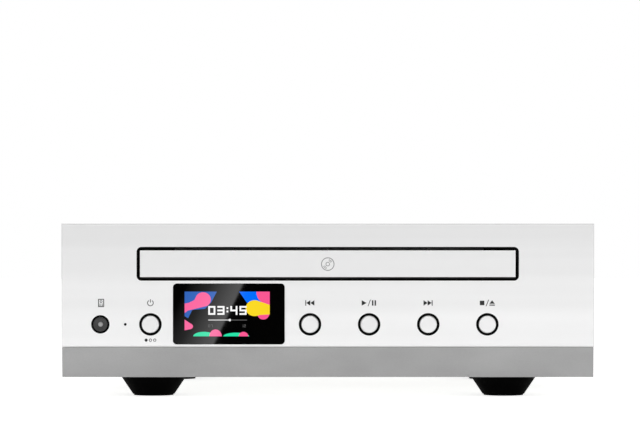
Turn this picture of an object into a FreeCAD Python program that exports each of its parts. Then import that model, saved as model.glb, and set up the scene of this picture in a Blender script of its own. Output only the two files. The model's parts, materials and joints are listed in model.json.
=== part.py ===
"""Compact disc player: slim aluminium case, front-loading motorised tray, tilting disc transport.

Millimetres, +Z up, the front faces -Y, the origin is on the floor under the middle of the case. The
drawing's own zero height lies 1.3 mm above the floor, and the pieces are raised by that when written.
The tray is closed and the transport is lowered, which is how the player stands when nothing plays.
"""
import FreeCAD
import Part

import math
import os
import re

import Sketcher

D = {
    # case
    "width": 248, "height": 80, "low": 8.4, "fold": 22.6, "face": 115.2, "fascia": 6, "back": 107.8,
    "shell": 2, "gauge": 1.6, "seam": 0.25, "edge": 0.5, "crown": 1, "strip_lean": 1, "strip_set": 3,
    "bracket": 1.5, "flange": 10, "ease": 0.3, "tight": 0.1,
    "vent": 2, "vent_low": 30, "vent_high": 48, "vent_first": 30, "vent_pitch": 6,
    # feet
    "foot_x": 83.4, "foot_y": 83.2, "foot_top": 16.05, "foot_tip": 9.95, "foot_lift": -0.7,
    "ground": -1.3,
    "pad_out": 9.4, "pad_in": 5, "pad_top": 0.5, "foot_bolt": 1.95, "bolt_head": 3.6, "bolt_seat": 4.4,
    # sheet-metal screws
    "screw": 1.45, "screw_head": 2.8, "screw_sink": 1.3, "screw_long": 5.4,
    "side_screw_y": 80, "side_screw_z": 16, "top_screw_x": 90, "top_screw_y": 101,
    # tray slot and door
    "slot_x": 88.95, "slot_low": 53.43, "slot_high": 69.15, "slot_round": 2.3, "liner_side": 0.7,
    "liner_low": 53.85, "liner_high": 68.45, "liner_ear": 92, "liner_rim": 71.5,
    "door_x": 87.35, "door_low": 54.2, "door_high": 67.5, "door_bevel": 0.93,
    # window and display
    "pane_x": -46, "pane_wide": 51.9, "pane_low": 23.84, "pane_high": 52.06, "pane_round": 1.8,
    "pane_thick": 1.5, "pane_seat": 1.7, "screen_x": -46.8, "screen_z": 37.95,
    "screen_wide": 43.5, "screen_tall": 23.9, "screen_thick": 2.5, "carrier_wall": 2,
    # keys, sensor and lamp
    "key_z": 33.12, "power_x": -82.5, "key_first": -8.25, "key_pitch": 27.5, "key": 3.95,
    "key_proud": 0.8, "key_skirt": 4.9, "key_stem": 1.6, "key_travel": 0.8, "ring_in": 4.15,
    "ring_out": 5.23, "ring_rim": 6, "eye_x": -105.8, "eye": 3.25, "eye_ring": 4.27,
    "lamp_x": -94.2, "lamp": 0.6, "board": 1.6, "board_y": 103.2, "switch_side": 6,
    # loader and tray
    "loader_x": 70.5, "loader_wall": 4.5, "loader_front": 100.6, "loader_back": 80, "loader_low": 24,
    "loader_floor": 3, "loader_high": 66, "leg_x": 62, "leg_front": 88, "leg_back": 68, "leg": 5,
    "deck_low": 36, "deck": 2.5, "deck_back": 70, "tray_x": 70, "tray_back": 62, "tray_low": 55.5,
    "tray_high": 61.5, "disc_y": -45, "well": 60.5, "well_floor": 59, "small_well": 40.5,
    "small_floor": 58, "slit_x": 17, "slit_back": 20, "lip_x": 86, "lip_high": 66, "lip": 2,
    # drive train
    "pitch_x": -58, "gear_y": -83.5, "gear_x": -43, "pinion_x": -21, "motor_x": 23,
    "gear_teeth": 30, "pinion_teeth": 14, "pressure": 25, "tip": 0.9, "root": 1.2, "thin": 0.12,
    "rack_low": 54.3, "rack_high": 57, "rack_out": -66, "rack_first": -91.5, "rack_last": 58.5,
    "axle": 1.5, "bore": 1.55, "belt_low": 41.4, "belt_high": 42.6, "belt": 1.2,
    "pulley_groove": 12.3, "small_groove": 2.8,
    # cam slider
    "slider_y": -65.5, "slider": 2, "slider_low": 27.3, "slider_high": 51, "slider_left": -54,
    "slider_right": 30, "cam_x": 25, "cam_run": 24, "cam_low": 34.14, "cam_high": 46.5,
    "cam_slot": 1.8,
    # transport, drawn raised and then tilted down about its rear hinge
    "tilt": 6, "hinge_y": 52, "hinge_z": 48, "lift_x": 46, "lift_front": -61.5, "lift_back": 50,
    "lift_low": 44, "lift_high": 49, "plate_low": 51, "plate": 1.2, "rod_z": 46.5, "rod_left": -24,
    "rod_right": 33, "rod_front": -36, "rod_back": 38, "screw_x": 24, "worm": 1.4,
    "sled_front": -32, "sled_back": -12, "lens_y": -22, "mount_x": 41.5, "mount_front": -50,
    "mount_back": 36, "table": 15, "table_low": 58.6, "table_high": 61, "cone_high": 63.2,
    # clamp
    "bridge_low": 66, "bridge": 1.5, "bridge_half": 16, "bridge_hole": 9.4, "puck": 13,
    "puck_low": 62.4, "puck_neck": 8.6, "puck_rim": 11.5, "puck_high": 69.2,
    # electronics and sockets
    "pcb_low": 16, "pcb_x": 80, "pcb_out": 118, "socket_z": 33, "jack": 4.15, "jack_out": 116,
    "jack_collar": 5.2, "jack_hole": 1.6, "mains_x": -102, "rocker_x": -78, "rocker_y": 106, "rocker_lean": 8,
    "optic_x": 50, "optic": 5.5, "optic_port": 4.2,
}

DOC = FreeCAD.newDocument("disc_player")
SHEET = DOC.addObject("Spreadsheet::Sheet", "dims")
WORD = re.compile(r"[a-z][a-z0-9_]*")
PARTS = []

FRONT = "-face"
SKIN = "fascia - face"
FLOOR = "low + gauge"
X_AXIS = FreeCAD.Vector(1, 0, 0)
Y_AXIS = FreeCAD.Vector(0, 1, 0)
Z_AXIS = FreeCAD.Vector(0, 0, 1)
ALONG = {
    "x": FreeCAD.Rotation(Y_AXIS, 90),
    "y": FreeCAD.Rotation(X_AXIS, -90),
    "z": FreeCAD.Rotation(),
}
SIDES = (("left", "-"), ("right", ""))


# ---- the sheet and the building blocks -------------------------------------------------------

def fill_sheet():
    """One row for each driving dimension: its name, and its value in millimetres or degrees."""
    for row, (name, number) in enumerate(D.items(), start=1):
        SHEET.set(f"A{row}", name)
        SHEET.set(f"B{row}", str(number))
        SHEET.setAlias(f"B{row}", name)
    DOC.recompute()


def size(name):
    """The value of a cell, for shapes that are worked out in code."""
    return float(SHEET.get(name))


def formula(text):
    """An expression in which the names of the dimensions point at the sheet."""
    return WORD.sub(lambda m: f"dims.{m[0]}" if m[0] in D else m[0], str(text))


def bind(item, path, text):
    item.setExpression(path, formula(text))


def mid(centre, half):
    """The span of a given half width about a centre."""
    return f"({centre}) - ({half})", f"({centre}) + ({half})"


def box(name, x, y, z):
    """A block that spans three (low, high) pairs."""
    item = DOC.addObject("Part::Box", name)
    for side, axis, (low, high) in zip(("Length", "Width", "Height"), "xyz", (x, y, z)):
        bind(item, side, f"({high}) - ({low})")
        bind(item, f"Placement.Base.{axis}", low)
    return item


def place(item, axis, across, start):
    """Lay an item that was drawn along +Z along an axis; across holds the other two coordinates."""
    item.Placement = FreeCAD.Placement(FreeCAD.Vector(), ALONG[axis])
    others = [a for a in "xyz" if a != axis]
    for key, text in zip(others + [axis], list(across) + [start]):
        bind(item, f"Placement.Base.{key}", text)


def rod(name, axis, across, radius, along):
    """A cylinder along an axis, from along[0] to along[1]."""
    item = DOC.addObject("Part::Cylinder", name)
    bind(item, "Radius", radius)
    bind(item, "Height", f"({along[1]}) - ({along[0]})")
    place(item, axis, across, along[0])
    return item


def cone(name, axis, across, radii, along):
    """A truncated cone along an axis, with a radius at each end."""
    item = DOC.addObject("Part::Cone", name)
    bind(item, "Radius1", radii[0])
    bind(item, "Radius2", radii[1])
    bind(item, "Height", f"({along[1]}) - ({along[0]})")
    place(item, axis, across, along[0])
    return item


def fuse(name, *items):
    item = DOC.addObject("Part::MultiFuse", name)
    item.Shapes = list(items)
    return item


def group(name, *items):
    """Separate solids that share one node."""
    item = DOC.addObject("Part::Compound", name)
    item.Links = list(items)
    return item


def cut(name, base, *tools):
    item = DOC.addObject("Part::Cut", name)
    item.Base = base
    item.Tool = tools[0] if len(tools) == 1 else fuse(f"{name}_tools", *tools)
    return item


def sketch(body, name, role, offset, points):
    """A closed outline of straight sides on one of the body's origin planes, fully constrained."""
    item = body.newObject("Sketcher::SketchObject", name)
    item.AttachmentSupport = [(next(f for f in body.Origin.OriginFeatures if f.Role == role), "")]
    item.MapMode = "FlatFace"
    bind(item, "AttachmentOffset.Base.z", offset)
    count = len(points)
    start = [FreeCAD.Vector(50, 0, 0) + 10 * FreeCAD.Vector(math.cos(a), math.sin(a), 0)
             for a in (2 * math.pi * i / count for i in range(count))]
    item.addGeometry([Part.LineSegment(start[i], start[(i + 1) % count]) for i in range(count)])
    rules = [Sketcher.Constraint("Coincident", i, 2, (i + 1) % count, 1) for i in range(count)]
    named = {}
    for i, point in enumerate(points):
        for kind, text in zip(("DistanceX", "DistanceY"), point):
            named[len(rules)] = text
            rules.append(Sketcher.Constraint(kind, -1, 1, i, 1, 1.0 + i))
    item.addConstraint(rules)
    for index, text in named.items():
        item.setExpression(f"Constraints[{index}]", formula(text))
    return item


def outline(name, role, points, low, high):
    """A padded outline. The XZ plane looks along -Y, so there the pad starts from the high end."""
    body = DOC.addObject("PartDesign::Body", name)
    offset = f"-({high})" if role == "XZ_Plane" else low
    profile = sketch(body, f"{name}_sketch", role, offset, points)
    pad = body.newObject("PartDesign::Pad", f"{name}_pad")
    pad.Profile = profile
    bind(pad, "Length", f"({high}) - ({low})")
    return body


def dress(body, kind, amount, wanted):
    """A fillet or chamfer on the edges of the body's tip whose two ends pass the test."""
    DOC.recompute()
    base = body.Tip
    names = [f"Edge{i}" for i, edge in enumerate(base.Shape.Edges, start=1)
             if wanted(edge.Vertexes[0].Point, edge.Vertexes[-1].Point)]
    item = body.newObject(f"PartDesign::{kind}", f"{body.Name}_{kind.lower()}")
    item.Base = (base, names)
    bind(item, "Radius" if kind == "Fillet" else "Size", amount)
    return body


def pane(name, x, z, corner, low, high):
    """An upright rounded rectangle, from low to high along Y."""
    corners = [(x[0], z[0]), (x[1], z[0]), (x[1], z[1]), (x[0], z[1])]
    body = outline(name, "XZ_Plane", corners, low, high)
    return dress(body, "Fillet", corner, lambda a, b: abs(a.y - b.y) > size("tight"))


def turned(name, axis, across, profile):
    """A lathe-turned piece; the profile is a list of (radius, place along the axis)."""
    body = DOC.addObject("PartDesign::Body", name)
    lines = sketch(body, f"{name}_sketch", "XZ_Plane", "0", profile)
    spin = body.newObject("PartDesign::Revolution", f"{name}_turn")
    spin.Profile = lines
    spin.ReferenceAxis = (lines, ["V_Axis"])
    spin.Angle = 360
    place(body, axis, across, "0")
    return body


def feature(name, shape, rotation=None):
    """A shape worked out in code from the sheet's values."""
    item = DOC.addObject("Part::Feature", name)
    item.Shape = shape
    if rotation:
        item.Placement = FreeCAD.Placement(FreeCAD.Vector(), rotation)
    return item


def strap(first, second, low, high):
    """The slab that wraps two circles, each (x, y, radius), between two heights."""
    one, two = (FreeCAD.Vector(x, y, low) for x, y, _ in (first, second))
    big, small = first[2], second[2]
    along = (two - one).normalize()
    across = Z_AXIS.cross(along)
    lean = (big - small) / (two - one).Length
    rise = math.sqrt(1 - lean * lean)
    near, far = along * lean + across * rise, along * lean - across * rise
    edges = [
        Part.LineSegment(one + near * big, two + near * small),
        Part.Arc(two + near * small, two + along * small, two + far * small),
        Part.LineSegment(two + far * small, one + far * big),
        Part.Arc(one + far * big, one - along * big, one + near * big),
    ]
    face = Part.Face(Part.Wire([edge.toShape() for edge in edges]))
    return face.extrude(FreeCAD.Vector(0, 0, high - low))


def prism(points, low, high):
    """A slab of any outline, between two heights."""
    ring = [FreeCAD.Vector(x, y, low) for x, y in points]
    return Part.Face(Part.makePolygon(ring + ring[:1])).extrude(FreeCAD.Vector(0, 0, high - low))


def part(item, label):
    """Name a finished piece: the label is the name of its node."""
    item.Label = label
    PARTS.append(item)
    return item


def tilted(item, label):
    """A finished piece of the transport, tilted down about the rear hinge."""
    item.Placement = FreeCAD.Placement(FreeCAD.Vector(), FreeCAD.Rotation(X_AXIS, 1))
    turn = "tilt * 1 deg"
    bind(item, "Placement.Rotation.Angle", turn)
    bind(item, "Placement.Base.y", f"hinge_y - hinge_y * cos({turn}) + hinge_z * sin({turn})")
    bind(item, "Placement.Base.z", f"hinge_z - hinge_y * sin({turn}) - hinge_z * cos({turn})")
    return part(item, label)


# ---- case ------------------------------------------------------------------------------------

KEYS = {
    "power_button": "power_x",
    "previous_button": "key_first",
    "play_pause_button": "key_first + key_pitch",
    "next_button": "key_first + 2 * key_pitch",
    "stop_eject_button": "key_first + 3 * key_pitch",
}


def fascia_panel():
    """Thick upper front panel with the tray slot, the window seat, and holes for keys and sensor."""
    edge_x = "width / 2"
    corners = [(f"-{edge_x}", "fold"), (edge_x, "fold"), (edge_x, "height"), (f"-{edge_x}", "height")]
    plate = outline("fascia_plate", "XZ_Plane", corners, FRONT, SKIN)
    front = -size("face") + size("tight")
    dress(plate, "Chamfer", "edge", lambda a, b: a.y < front and b.y < front)
    over, behind = "-face - 1", "fascia - face + 1"
    half = "pane_wide / 2 + tight"
    tools = [
        pane("slot_cut", ("-slot_x", "slot_x"), ("slot_low", "slot_high"), "slot_round", over, behind),
        pane("seat_cut", mid("pane_x", half), ("pane_low - tight", "pane_high + tight"),
             "pane_round", over, "pane_seat - face"),
        box("window_cut", mid("screen_x", "screen_wide / 2 + seam"), (over, behind),
            mid("screen_z", "screen_tall / 2 + seam")),
        rod("eye_cut", "y", ("eye_x", "key_z"), "eye_ring + tight / 5", (over, behind)),
        rod("lamp_cut", "y", ("lamp_x", "key_z"), "lamp + tight / 2", (over, behind)),
    ]
    for name, x in KEYS.items():
        tools.append(rod(f"{name}_cut", "y", (x, "key_z"), "ring_out + tight / 5", (over, behind)))
    part(cut("fascia", plate, *tools), "fascia_panel")


def lower_strip():
    """Darker lower front strip, set back behind the fold and leaning slightly out at its foot."""
    top = "fold - seam"
    section = [("strip_set - face", top), ("strip_set + strip_lean - face", "low"), (SKIN, "low"),
               (SKIN, top)]
    body = outline("strip", "YZ_Plane", section, "-width / 2", "width / 2")
    part(body, "lower_fascia_strip")


def front_bracket():
    """Steel plate behind the fascia, folded back at its top and foot, with pegs for the board."""
    front, rear = "fascia - face + tight", "fascia - face + tight + bracket"
    x = ("shell * 2 - width / 2", "width / 2 - shell * 2")
    foot, head = "low + gauge + tight", "height - shell - 0.5"
    tabs = [
        box("bracket_plate", x, (front, rear), (foot, head)),
        box("bracket_foot", x, (rear, f"{rear} + flange"), (foot, f"{foot} + bracket")),
        box("bracket_head", x, (rear, f"{rear} + flange"), (f"{head} - bracket", head)),
    ]
    for index, peg in enumerate(("-108", "8", "88")):
        tabs.append(rod(f"bracket_peg_{index}", "y", (peg, "pane_high - 5"), "2.2", (rear, "-board_y")))
    over, behind = f"{front} - 1", f"{rear} + 0.5"
    tools = [
        box("bracket_slot", ("-liner_ear - 1", "liner_ear + 1"), (over, behind),
            ("slot_low - 0.4", "liner_rim + 0.5")),
        box("bracket_window", mid("screen_x", "screen_wide / 2 + 1"), (over, behind),
            mid("screen_z", "screen_tall / 2 + 0.7")),
        rod("bracket_eye", "y", ("eye_x", "key_z"), "ring_rim", (over, behind)),
        rod("bracket_lamp", "y", ("lamp_x", "key_z"), "lamp * 2", (over, behind)),
    ]
    for name, x_key in KEYS.items():
        hole = rod(f"bracket_{name}", "y", (x_key, "key_z"), "ring_rim + 0.5", (over, behind))
        tools.append(hole)
    part(cut("bracket", fuse("bracket_blank", *tabs), *tools), "front_bracket")


BOARD_POSTS = (("96", "-54"), ("114", "-54"), ("84", "60"), ("114", "60"), ("36", "88"),
               ("-114", "-64"), ("-84", "-64"), ("-114", "74"), ("-84", "74"))
LEGS = [(f"{sign}leg_x", y) for _, sign in SIDES for y in ("-leg_front", "leg_back")]
FEET = {
    "front_left": ("-foot_x", "-foot_y"), "front_right": ("foot_x", "-foot_y"),
    "rear_left": ("-foot_x", "foot_y"), "rear_right": ("foot_x", "foot_y"),
}
SIDE_SCREWS = [(side, sign, y) for side, sign in SIDES for y in ("-side_screw_y", "0", "side_screw_y")]


def base_plate():
    """Steel floor pan with side flanges, legs under the loader and pegged posts under the boards."""
    outer = "width / 2 - shell - 0.2"
    front, rear = "fascia - face + tight + bracket + tight", "back"
    pieces = [box("pan", (f"-({outer})", outer), (front, rear), ("low", FLOOR))]
    for side, sign in SIDES:
        x = sorted_span(sign, f"{outer} - gauge", outer)
        pieces.append(box(f"pan_{side}", x, (front, "back - gauge - ease"), (FLOOR, "fold - 0.6")))
    for index, (x, y) in enumerate(LEGS):
        pieces.append(rod(f"leg_{index}", "z", (x, y), "leg", (FLOOR, "loader_low")))
        pieces.append(rod(f"leg_peg_{index}", "z", (x, y), "1.9", ("loader_low", "loader_low + 2.8")))
    for index, (x, y) in enumerate(BOARD_POSTS):
        pieces.append(rod(f"post_{index}", "z", (x, y), "3", (FLOOR, "pcb_low")))
        pieces.append(rod(f"post_peg_{index}", "z", (x, y), "1.4", ("pcb_low", "pcb_low + 3")))
    tools = []
    for name, (x, y) in FEET.items():
        pieces.append(rod(f"collar_{name}", "z", (x, y), "3.5", (FLOOR, "low + gauge + 2.5")))
        tools.append(rod(f"tap_{name}", "z", (x, y), "foot_bolt + 0.05", ("low - 1", "low + 6")))
    for index, (side, sign, y) in enumerate(SIDE_SCREWS):
        x = sorted_span(sign, f"{outer} - 3", f"{outer} + 1")
        tools.append(rod(f"pan_tap_{index}", "x", (y, "side_screw_z"), "screw + 0.05", x))
    for index in range(9):
        for side, sign in SIDES:
            x = mid(f"{sign}99", "12")
            tools.append(box(f"pan_vent_{side}_{index}", x, mid(f"vent_pitch * {index} - 24", "vent / 2"),
                             ("low - 1", "low + 3")))
    part(cut("base", fuse("pan_blank", *pieces), *tools), "base_plate")


def sorted_span(sign, near, far):
    """The span from near to far on the right side of the case, or its mirror on the left."""
    return (f"-({far})", f"-({near})") if sign else (near, far)


def screw(name, axis, across, face, sign, grow):
    """A countersunk screw whose head is flush with a face and points inward; sign is + or -."""
    head, seat, tip = face, f"({face}) {sign} screw_sink", f"({face}) {sign} screw_long"
    rise = (tip, head) if sign == "-" else (head, tip)
    taper = [f"screw + {grow}", f"screw_head + {grow}"]
    ends = (seat, head) if sign == "-" else (head, seat)
    if sign == "+":
        taper.reverse()
    return fuse(name, cone(f"{name}_head", axis, across, taper, ends),
                rod(f"{name}_shank", axis, across, f"screw + {grow}", rise))


def case_screws(prefix, grow):
    """The eight screws that hold the cover, or the holes they go through."""
    items = []
    for index, (side, sign, y) in enumerate(SIDE_SCREWS):
        face, inward = f"{sign}width / 2", "+" if sign else "-"
        items.append(screw(f"{prefix}_{side}_{index}", "x", (y, "side_screw_z"), face, inward, grow))
    for side, sign in SIDES:
        at = (f"{sign}top_screw_x", "top_screw_y")
        items.append(screw(f"{prefix}_top_{side}", "z", at, "height", "-", grow))
    return items


def top_cover():
    """Aluminium cover bent into a U, screwed to the pan at its sides and to the rear panel on top."""
    out, inn = "width / 2", "width / 2 - shell"
    section = [(f"-{out}", "low"), (f"-({inn})", "low"), (f"-({inn})", "height - shell"),
               (inn, "height - shell"), (inn, "low"), (out, "low"), (out, "height"),
               (f"-{out}", "height")]
    body = outline("cover", "XZ_Plane", section, "fascia - face + seam", "back + 0.2")
    limit, top = size("width") / 2 - size("tight"), size("height") - size("tight")
    dress(body, "Fillet", "crown",
          lambda a, b: abs(a.x) > limit and a.z > top and b.z > top and abs(a.x - b.x) < 1)
    tools = case_screws("hole", "0.05")
    for index in range(8):
        tools.append(box(f"cover_vent_{index}", ("-width / 2 - 1", "width / 2 + 1"),
                         mid(f"vent_first + vent_pitch * {index}", "vent / 2"), ("vent_low", "vent_high")))
    part(cut("cover_cut", body, *tools), "top_cover")
    part(group("screws", *case_screws("screw", "0")), "cover_screws")


def rear_panel():
    """Steel rear panel with the holes for the sockets and a block of cooling slots."""
    x = ("shell + 0.4 - width / 2", "width / 2 - shell - 0.4")
    narrow = ("shell + 3 - width / 2", "width / 2 - shell - 3")
    inner = "back - gauge"
    foot, head = "low + gauge + 0.05", "height - shell - tight"
    blank = fuse(
        "rear_blank",
        box("rear_plate", x, (inner, "back"), (foot, head)),
        box("rear_foot", narrow, (f"{inner} - flange", inner), (foot, f"{foot} + gauge")),
        box("rear_head", narrow, (f"{inner} - flange", inner), (f"{head} - gauge", head)),
    )
    over, behind = f"{inner} - 0.5", "back + 1"
    tools = [
        box("mains_cut", ("mains_x - 13.6", "mains_x + 33.6"), (over, behind), mid("socket_z", "10.6")),
        box("optic_cut", mid("optic_x", "optic + tight"), (over, behind), mid("socket_z", "optic + tight")),
    ]
    for index, jack in enumerate(JACKS):
        tools.append(rod(f"jack_cut_{index}", "y", (jack, "socket_z"), "jack_collar + tight", (over, behind)))
    for side, sign in SIDES:
        tools.append(rod(f"head_tap_{side}", "z", (f"{sign}top_screw_x", "top_screw_y"),
                         "screw + 0.05", ("height - 8", "height")))
    for index in range(10):
        tools.append(box(f"rear_vent_{index}", mid(f"7 * {index} - 31.5", "vent * 0.6"), (over, behind),
                         ("vent_high - 2", "vent_high + 22")))
    part(cut("rear", blank, *tools), "rear_panel")


def feet():
    """Conical feet with a rubber ring each, bolted to the pan."""
    pads, bolts = [], []
    for name, at in FEET.items():
        profile = [
            ("foot_bolt + 0.15", "low"), ("foot_top", "low"), ("foot_tip", "foot_lift"),
            ("pad_out + 0.05", "foot_lift"), ("pad_out + 0.05", "pad_top"),
            ("pad_in - 0.05", "pad_top"), ("pad_in - 0.05", "foot_lift"),
            ("bolt_head + ease", "foot_lift"), ("bolt_head + ease", "bolt_seat"),
            ("foot_bolt + 0.15", "bolt_seat"),
        ]
        part(turned(f"foot_{name}_body", "z", at, profile), f"foot_{name}")
        pads.append(cut(f"pad_{name}", rod(f"pad_out_{name}", "z", at, "pad_out", ("ground", "pad_top")),
                        rod(f"pad_in_{name}", "z", at, "pad_in", ("ground - 1", "pad_top + 1"))))
        bolts.append(fuse(f"bolt_{name}",
                          rod(f"bolt_head_{name}", "z", at, "bolt_head", ("bolt_seat - 2.4", "bolt_seat")),
                          rod(f"bolt_shank_{name}", "z", at, "foot_bolt", ("bolt_seat", "low + 3.6"))))
    part(group("pads", *pads), "foot_pads")
    part(group("bolts", *bolts), "foot_screws")


# ---- front controls --------------------------------------------------------------------------

def slot_liner():
    """Black liner of the tray slot, with a rim behind the fascia."""
    blank = fuse(
        "liner_blank",
        pane("liner_front", ("-slot_x", "slot_x"), ("slot_low", "slot_high"), "slot_round", FRONT, SKIN),
        box("liner_rim_plate", ("-liner_ear", "liner_ear"), (SKIN, "fascia - face + 1"),
            ("slot_low", "liner_rim")),
    )
    side = "slot_x - liner_side"
    hole = pane("liner_hole", (f"-({side})", side), ("liner_low", "liner_high"), "slot_round - liner_side",
                "-face - 1", "fascia - face + 2")
    part(cut("liner", blank, hole), "tray_slot_bezel")


def tray_door():
    """Aluminium door on the front of the tray, bevelled along its lower front edge."""
    section = [(FRONT, "door_low + door_bevel"), ("door_bevel - face", "door_low"), (SKIN, "door_low"),
               (SKIN, "door_high"), (FRONT, "door_high")]
    part(outline("door", "YZ_Plane", section, "-door_x", "door_x"), "tray_door")


def display():
    """Window glass in its seat, the display panel behind it, and the frame that carries the panel."""
    glass_y = ("0.05 - face", "0.05 + pane_thick - face")
    part(pane("glass", mid("pane_x", "pane_wide / 2"), ("pane_low", "pane_high"), "pane_round", *glass_y),
         "display_glass")
    x, z = mid("screen_x", "screen_wide / 2"), mid("screen_z", "screen_tall / 2")
    rear = "pane_seat + screen_thick - face"
    part(box("panel", x, ("pane_seat - face", rear), z), "display_panel")
    hollow = box("carrier_hollow", mid("screen_x", "screen_wide / 2 - carrier_wall"),
                 (f"{rear} - 1", "-board_y + 1"), mid("screen_z", "screen_tall / 2 - carrier_wall"))
    part(cut("carrier", box("carrier_block", x, (rear, "-board_y - 0.2"), z), hollow), "display_carrier")


def keys():
    """Push buttons, each in a black ring, with a small switch on the board behind it."""
    back = "fascia - face + 1"
    rings, switches = [], []
    for name, x in KEYS.items():
        at = (x, "key_z")
        skirt = f"{back} + key_travel - 0.1"
        profile = [
            ("0", "-face - key_proud"), ("key - 0.3", "-face - key_proud"),
            ("key", "-face - key_proud + 0.3"), ("key", back), ("key_skirt", back),
            ("key_skirt", skirt), ("key_stem", skirt), ("key_stem", f"{skirt} + 1.5"),
            ("0", f"{skirt} + 1.5"),
        ]
        part(turned(f"{name}_body", "y", at, profile), name)
        ring = [("ring_in", FRONT), ("ring_out", FRONT), ("ring_out", SKIN), ("ring_rim", SKIN),
                ("ring_rim", f"{SKIN} + 0.8"), ("ring_in", f"{SKIN} + 0.8")]
        rings.append(turned(f"{name}_ring", "y", at, ring))
        block = box(f"{name}_switch", mid(x, "switch_side / 2"), ("-board_y - 3.3", "-board_y"),
                    mid("key_z", "switch_side / 2"))
        bore = rod(f"{name}_well", "y", at, "key_stem + ease", ("-board_y - 4", "-board_y - 1.8"))
        switches.append(cut(f"{name}_switch_cut", block, bore))
    part(group("rings", *rings), "button_rings")
    part(group("switches", *switches), "tact_switches")


def front_board():
    """Circuit board behind the keys, with the socket of the flat cable."""
    board = fuse(
        "front_board_body",
        box("front_sheet", ("-112", "92"), ("-board_y", "board - board_y"), ("loader_low", "slot_low - 2")),
        box("front_socket", ("80", "91"), ("board - board_y", "board - board_y + 4"), ("28", "33")),
    )
    part(board, "front_board")


def remote_eye():
    """Remote-control receiver in its ring, and the standby lamp's light pipe."""
    at = ("eye_x", "key_z")
    ring = [("eye + 0.05", FRONT), ("eye_ring", FRONT), ("eye_ring", SKIN), ("eye_ring + 0.9", SKIN),
            ("eye_ring + 0.9", f"{SKIN} + 0.8"), ("eye + 0.05", f"{SKIN} + 0.8")]
    part(turned("eye_ring_body", "y", at, ring), "remote_sensor_bezel")
    lens = [("0", "0.4 - face"), ("0.7", "0.55 - face"), ("1.1", "1 - face"), ("1.2", "1.6 - face"),
            ("2.9", "0.1 - face"), ("eye", "0.1 - face"), ("eye", "-board_y - 0.1"),
            ("0", "-board_y - 0.1")]
    part(turned("eye_lens", "y", at, lens), "remote_sensor_lens")
    part(rod("pipe", "y", ("lamp_x", "key_z"), "lamp", ("-face - tight", "-board_y - 0.1")),
         "standby_light_pipe")


# ---- tray loader -----------------------------------------------------------------------------

def loader_frame():
    """Moulded frame: side walls that guide the tray, a gear deck in front, hinge brackets behind."""
    wide, outer = "loader_x", "loader_x + loader_wall"
    top_of_floor = "loader_low + loader_floor"
    y = ("-loader_front", "loader_back")
    pieces = [
        box("loader_bed", (f"-({outer})", outer), y, ("loader_low", top_of_floor)),
        box("loader_deck", (f"-{wide}", wide), ("-loader_front", "-deck_back"),
            ("deck_low", "deck_low + deck")),
        box("loader_rear", (f"-{wide}", wide), ("loader_back - 4", "loader_back"),
            (top_of_floor, "hinge_z + 2")),
        rod("gear_post", "z", ("gear_x", "gear_y"), "axle", ("deck_low + deck", "tray_low")),
        rod("pinion_post", "z", ("pinion_x", "gear_y"), "axle", ("deck_low + deck", "53")),
    ]
    for name, offset in (("front", "-2.65"), ("back", "2.65")):
        pieces.append(box(f"slider_rail_{name}", ("-60", "60"), mid(f"slider_y + ({offset})", "1.35"),
                          (top_of_floor, f"{top_of_floor} + 3")))
    tools = [
        box("bed_opening", ("-44", "44"), ("-60", "62"), ("loader_low - 1", f"{top_of_floor} + 1")),
        rod("motor_hole", "z", ("motor_x", "gear_y"), "4", ("deck_low - 1", "deck_low + deck + 1")),
    ]
    for side, sign in SIDES:
        pieces.append(box(f"wall_{side}", sorted_span(sign, wide, outer), y, ("loader_low", "loader_high")))
        pieces.append(box(f"guide_{side}", sorted_span(sign, f"{wide} - 4", wide), ("-loader_front", "60"),
                          ("tray_low - ease - 2.5", "tray_low - ease")))
        for index, tab in enumerate(("-90", "-10", "55")):
            pieces.append(box(f"tab_{side}_{index}", sorted_span(sign, f"{wide} - 3", wide), mid(tab, "5"),
                              ("tray_high + ease", "tray_high + ease + 2")))
        pieces.append(box(f"hinge_{side}", sorted_span(sign, "lift_x + 0.8", "lift_x + 5"),
                          mid("hinge_y", "6"), (top_of_floor, "hinge_z + 4")))
        tools.append(rod(f"hinge_bore_{side}", "x", ("hinge_y", "hinge_z"), "bore",
                         sorted_span(sign, "lift_x", "lift_x + 6")))
    for index, at in enumerate(LEGS):
        tools.append(rod(f"leg_hole_{index}", "z", at, "2", ("loader_low - 1", f"{top_of_floor} + 1")))
    part(cut("loader", fuse("loader_blank", *pieces), *tools), "loader_frame")


def rack_shape():
    """The tray's straight rack: teeth face the gear, with a gap opposite the gear's axle."""
    pitch = math.pi
    slope = math.tan(math.radians(size("pressure")))
    half = pitch / 4 - size("thin") / 2
    line, root, tip = size("pitch_x"), size("root"), size("tip")
    first, last = size("rack_first"), size("rack_last")
    points = [(size("rack_out"), first), (line - root, first)]
    index = math.ceil((first - size("gear_y")) / pitch)
    middle = size("gear_y") + (index + 0.5) * pitch
    while middle + pitch / 2 < last:
        points += [
            (line - root, middle - half - root * slope), (line + tip, middle - half + tip * slope),
            (line + tip, middle + half - tip * slope), (line - root, middle + half + root * slope),
        ]
        middle += pitch
    points += [(line - root, last), (size("rack_out"), last)]
    return prism(points, size("rack_low"), size("rack_high"))


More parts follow.
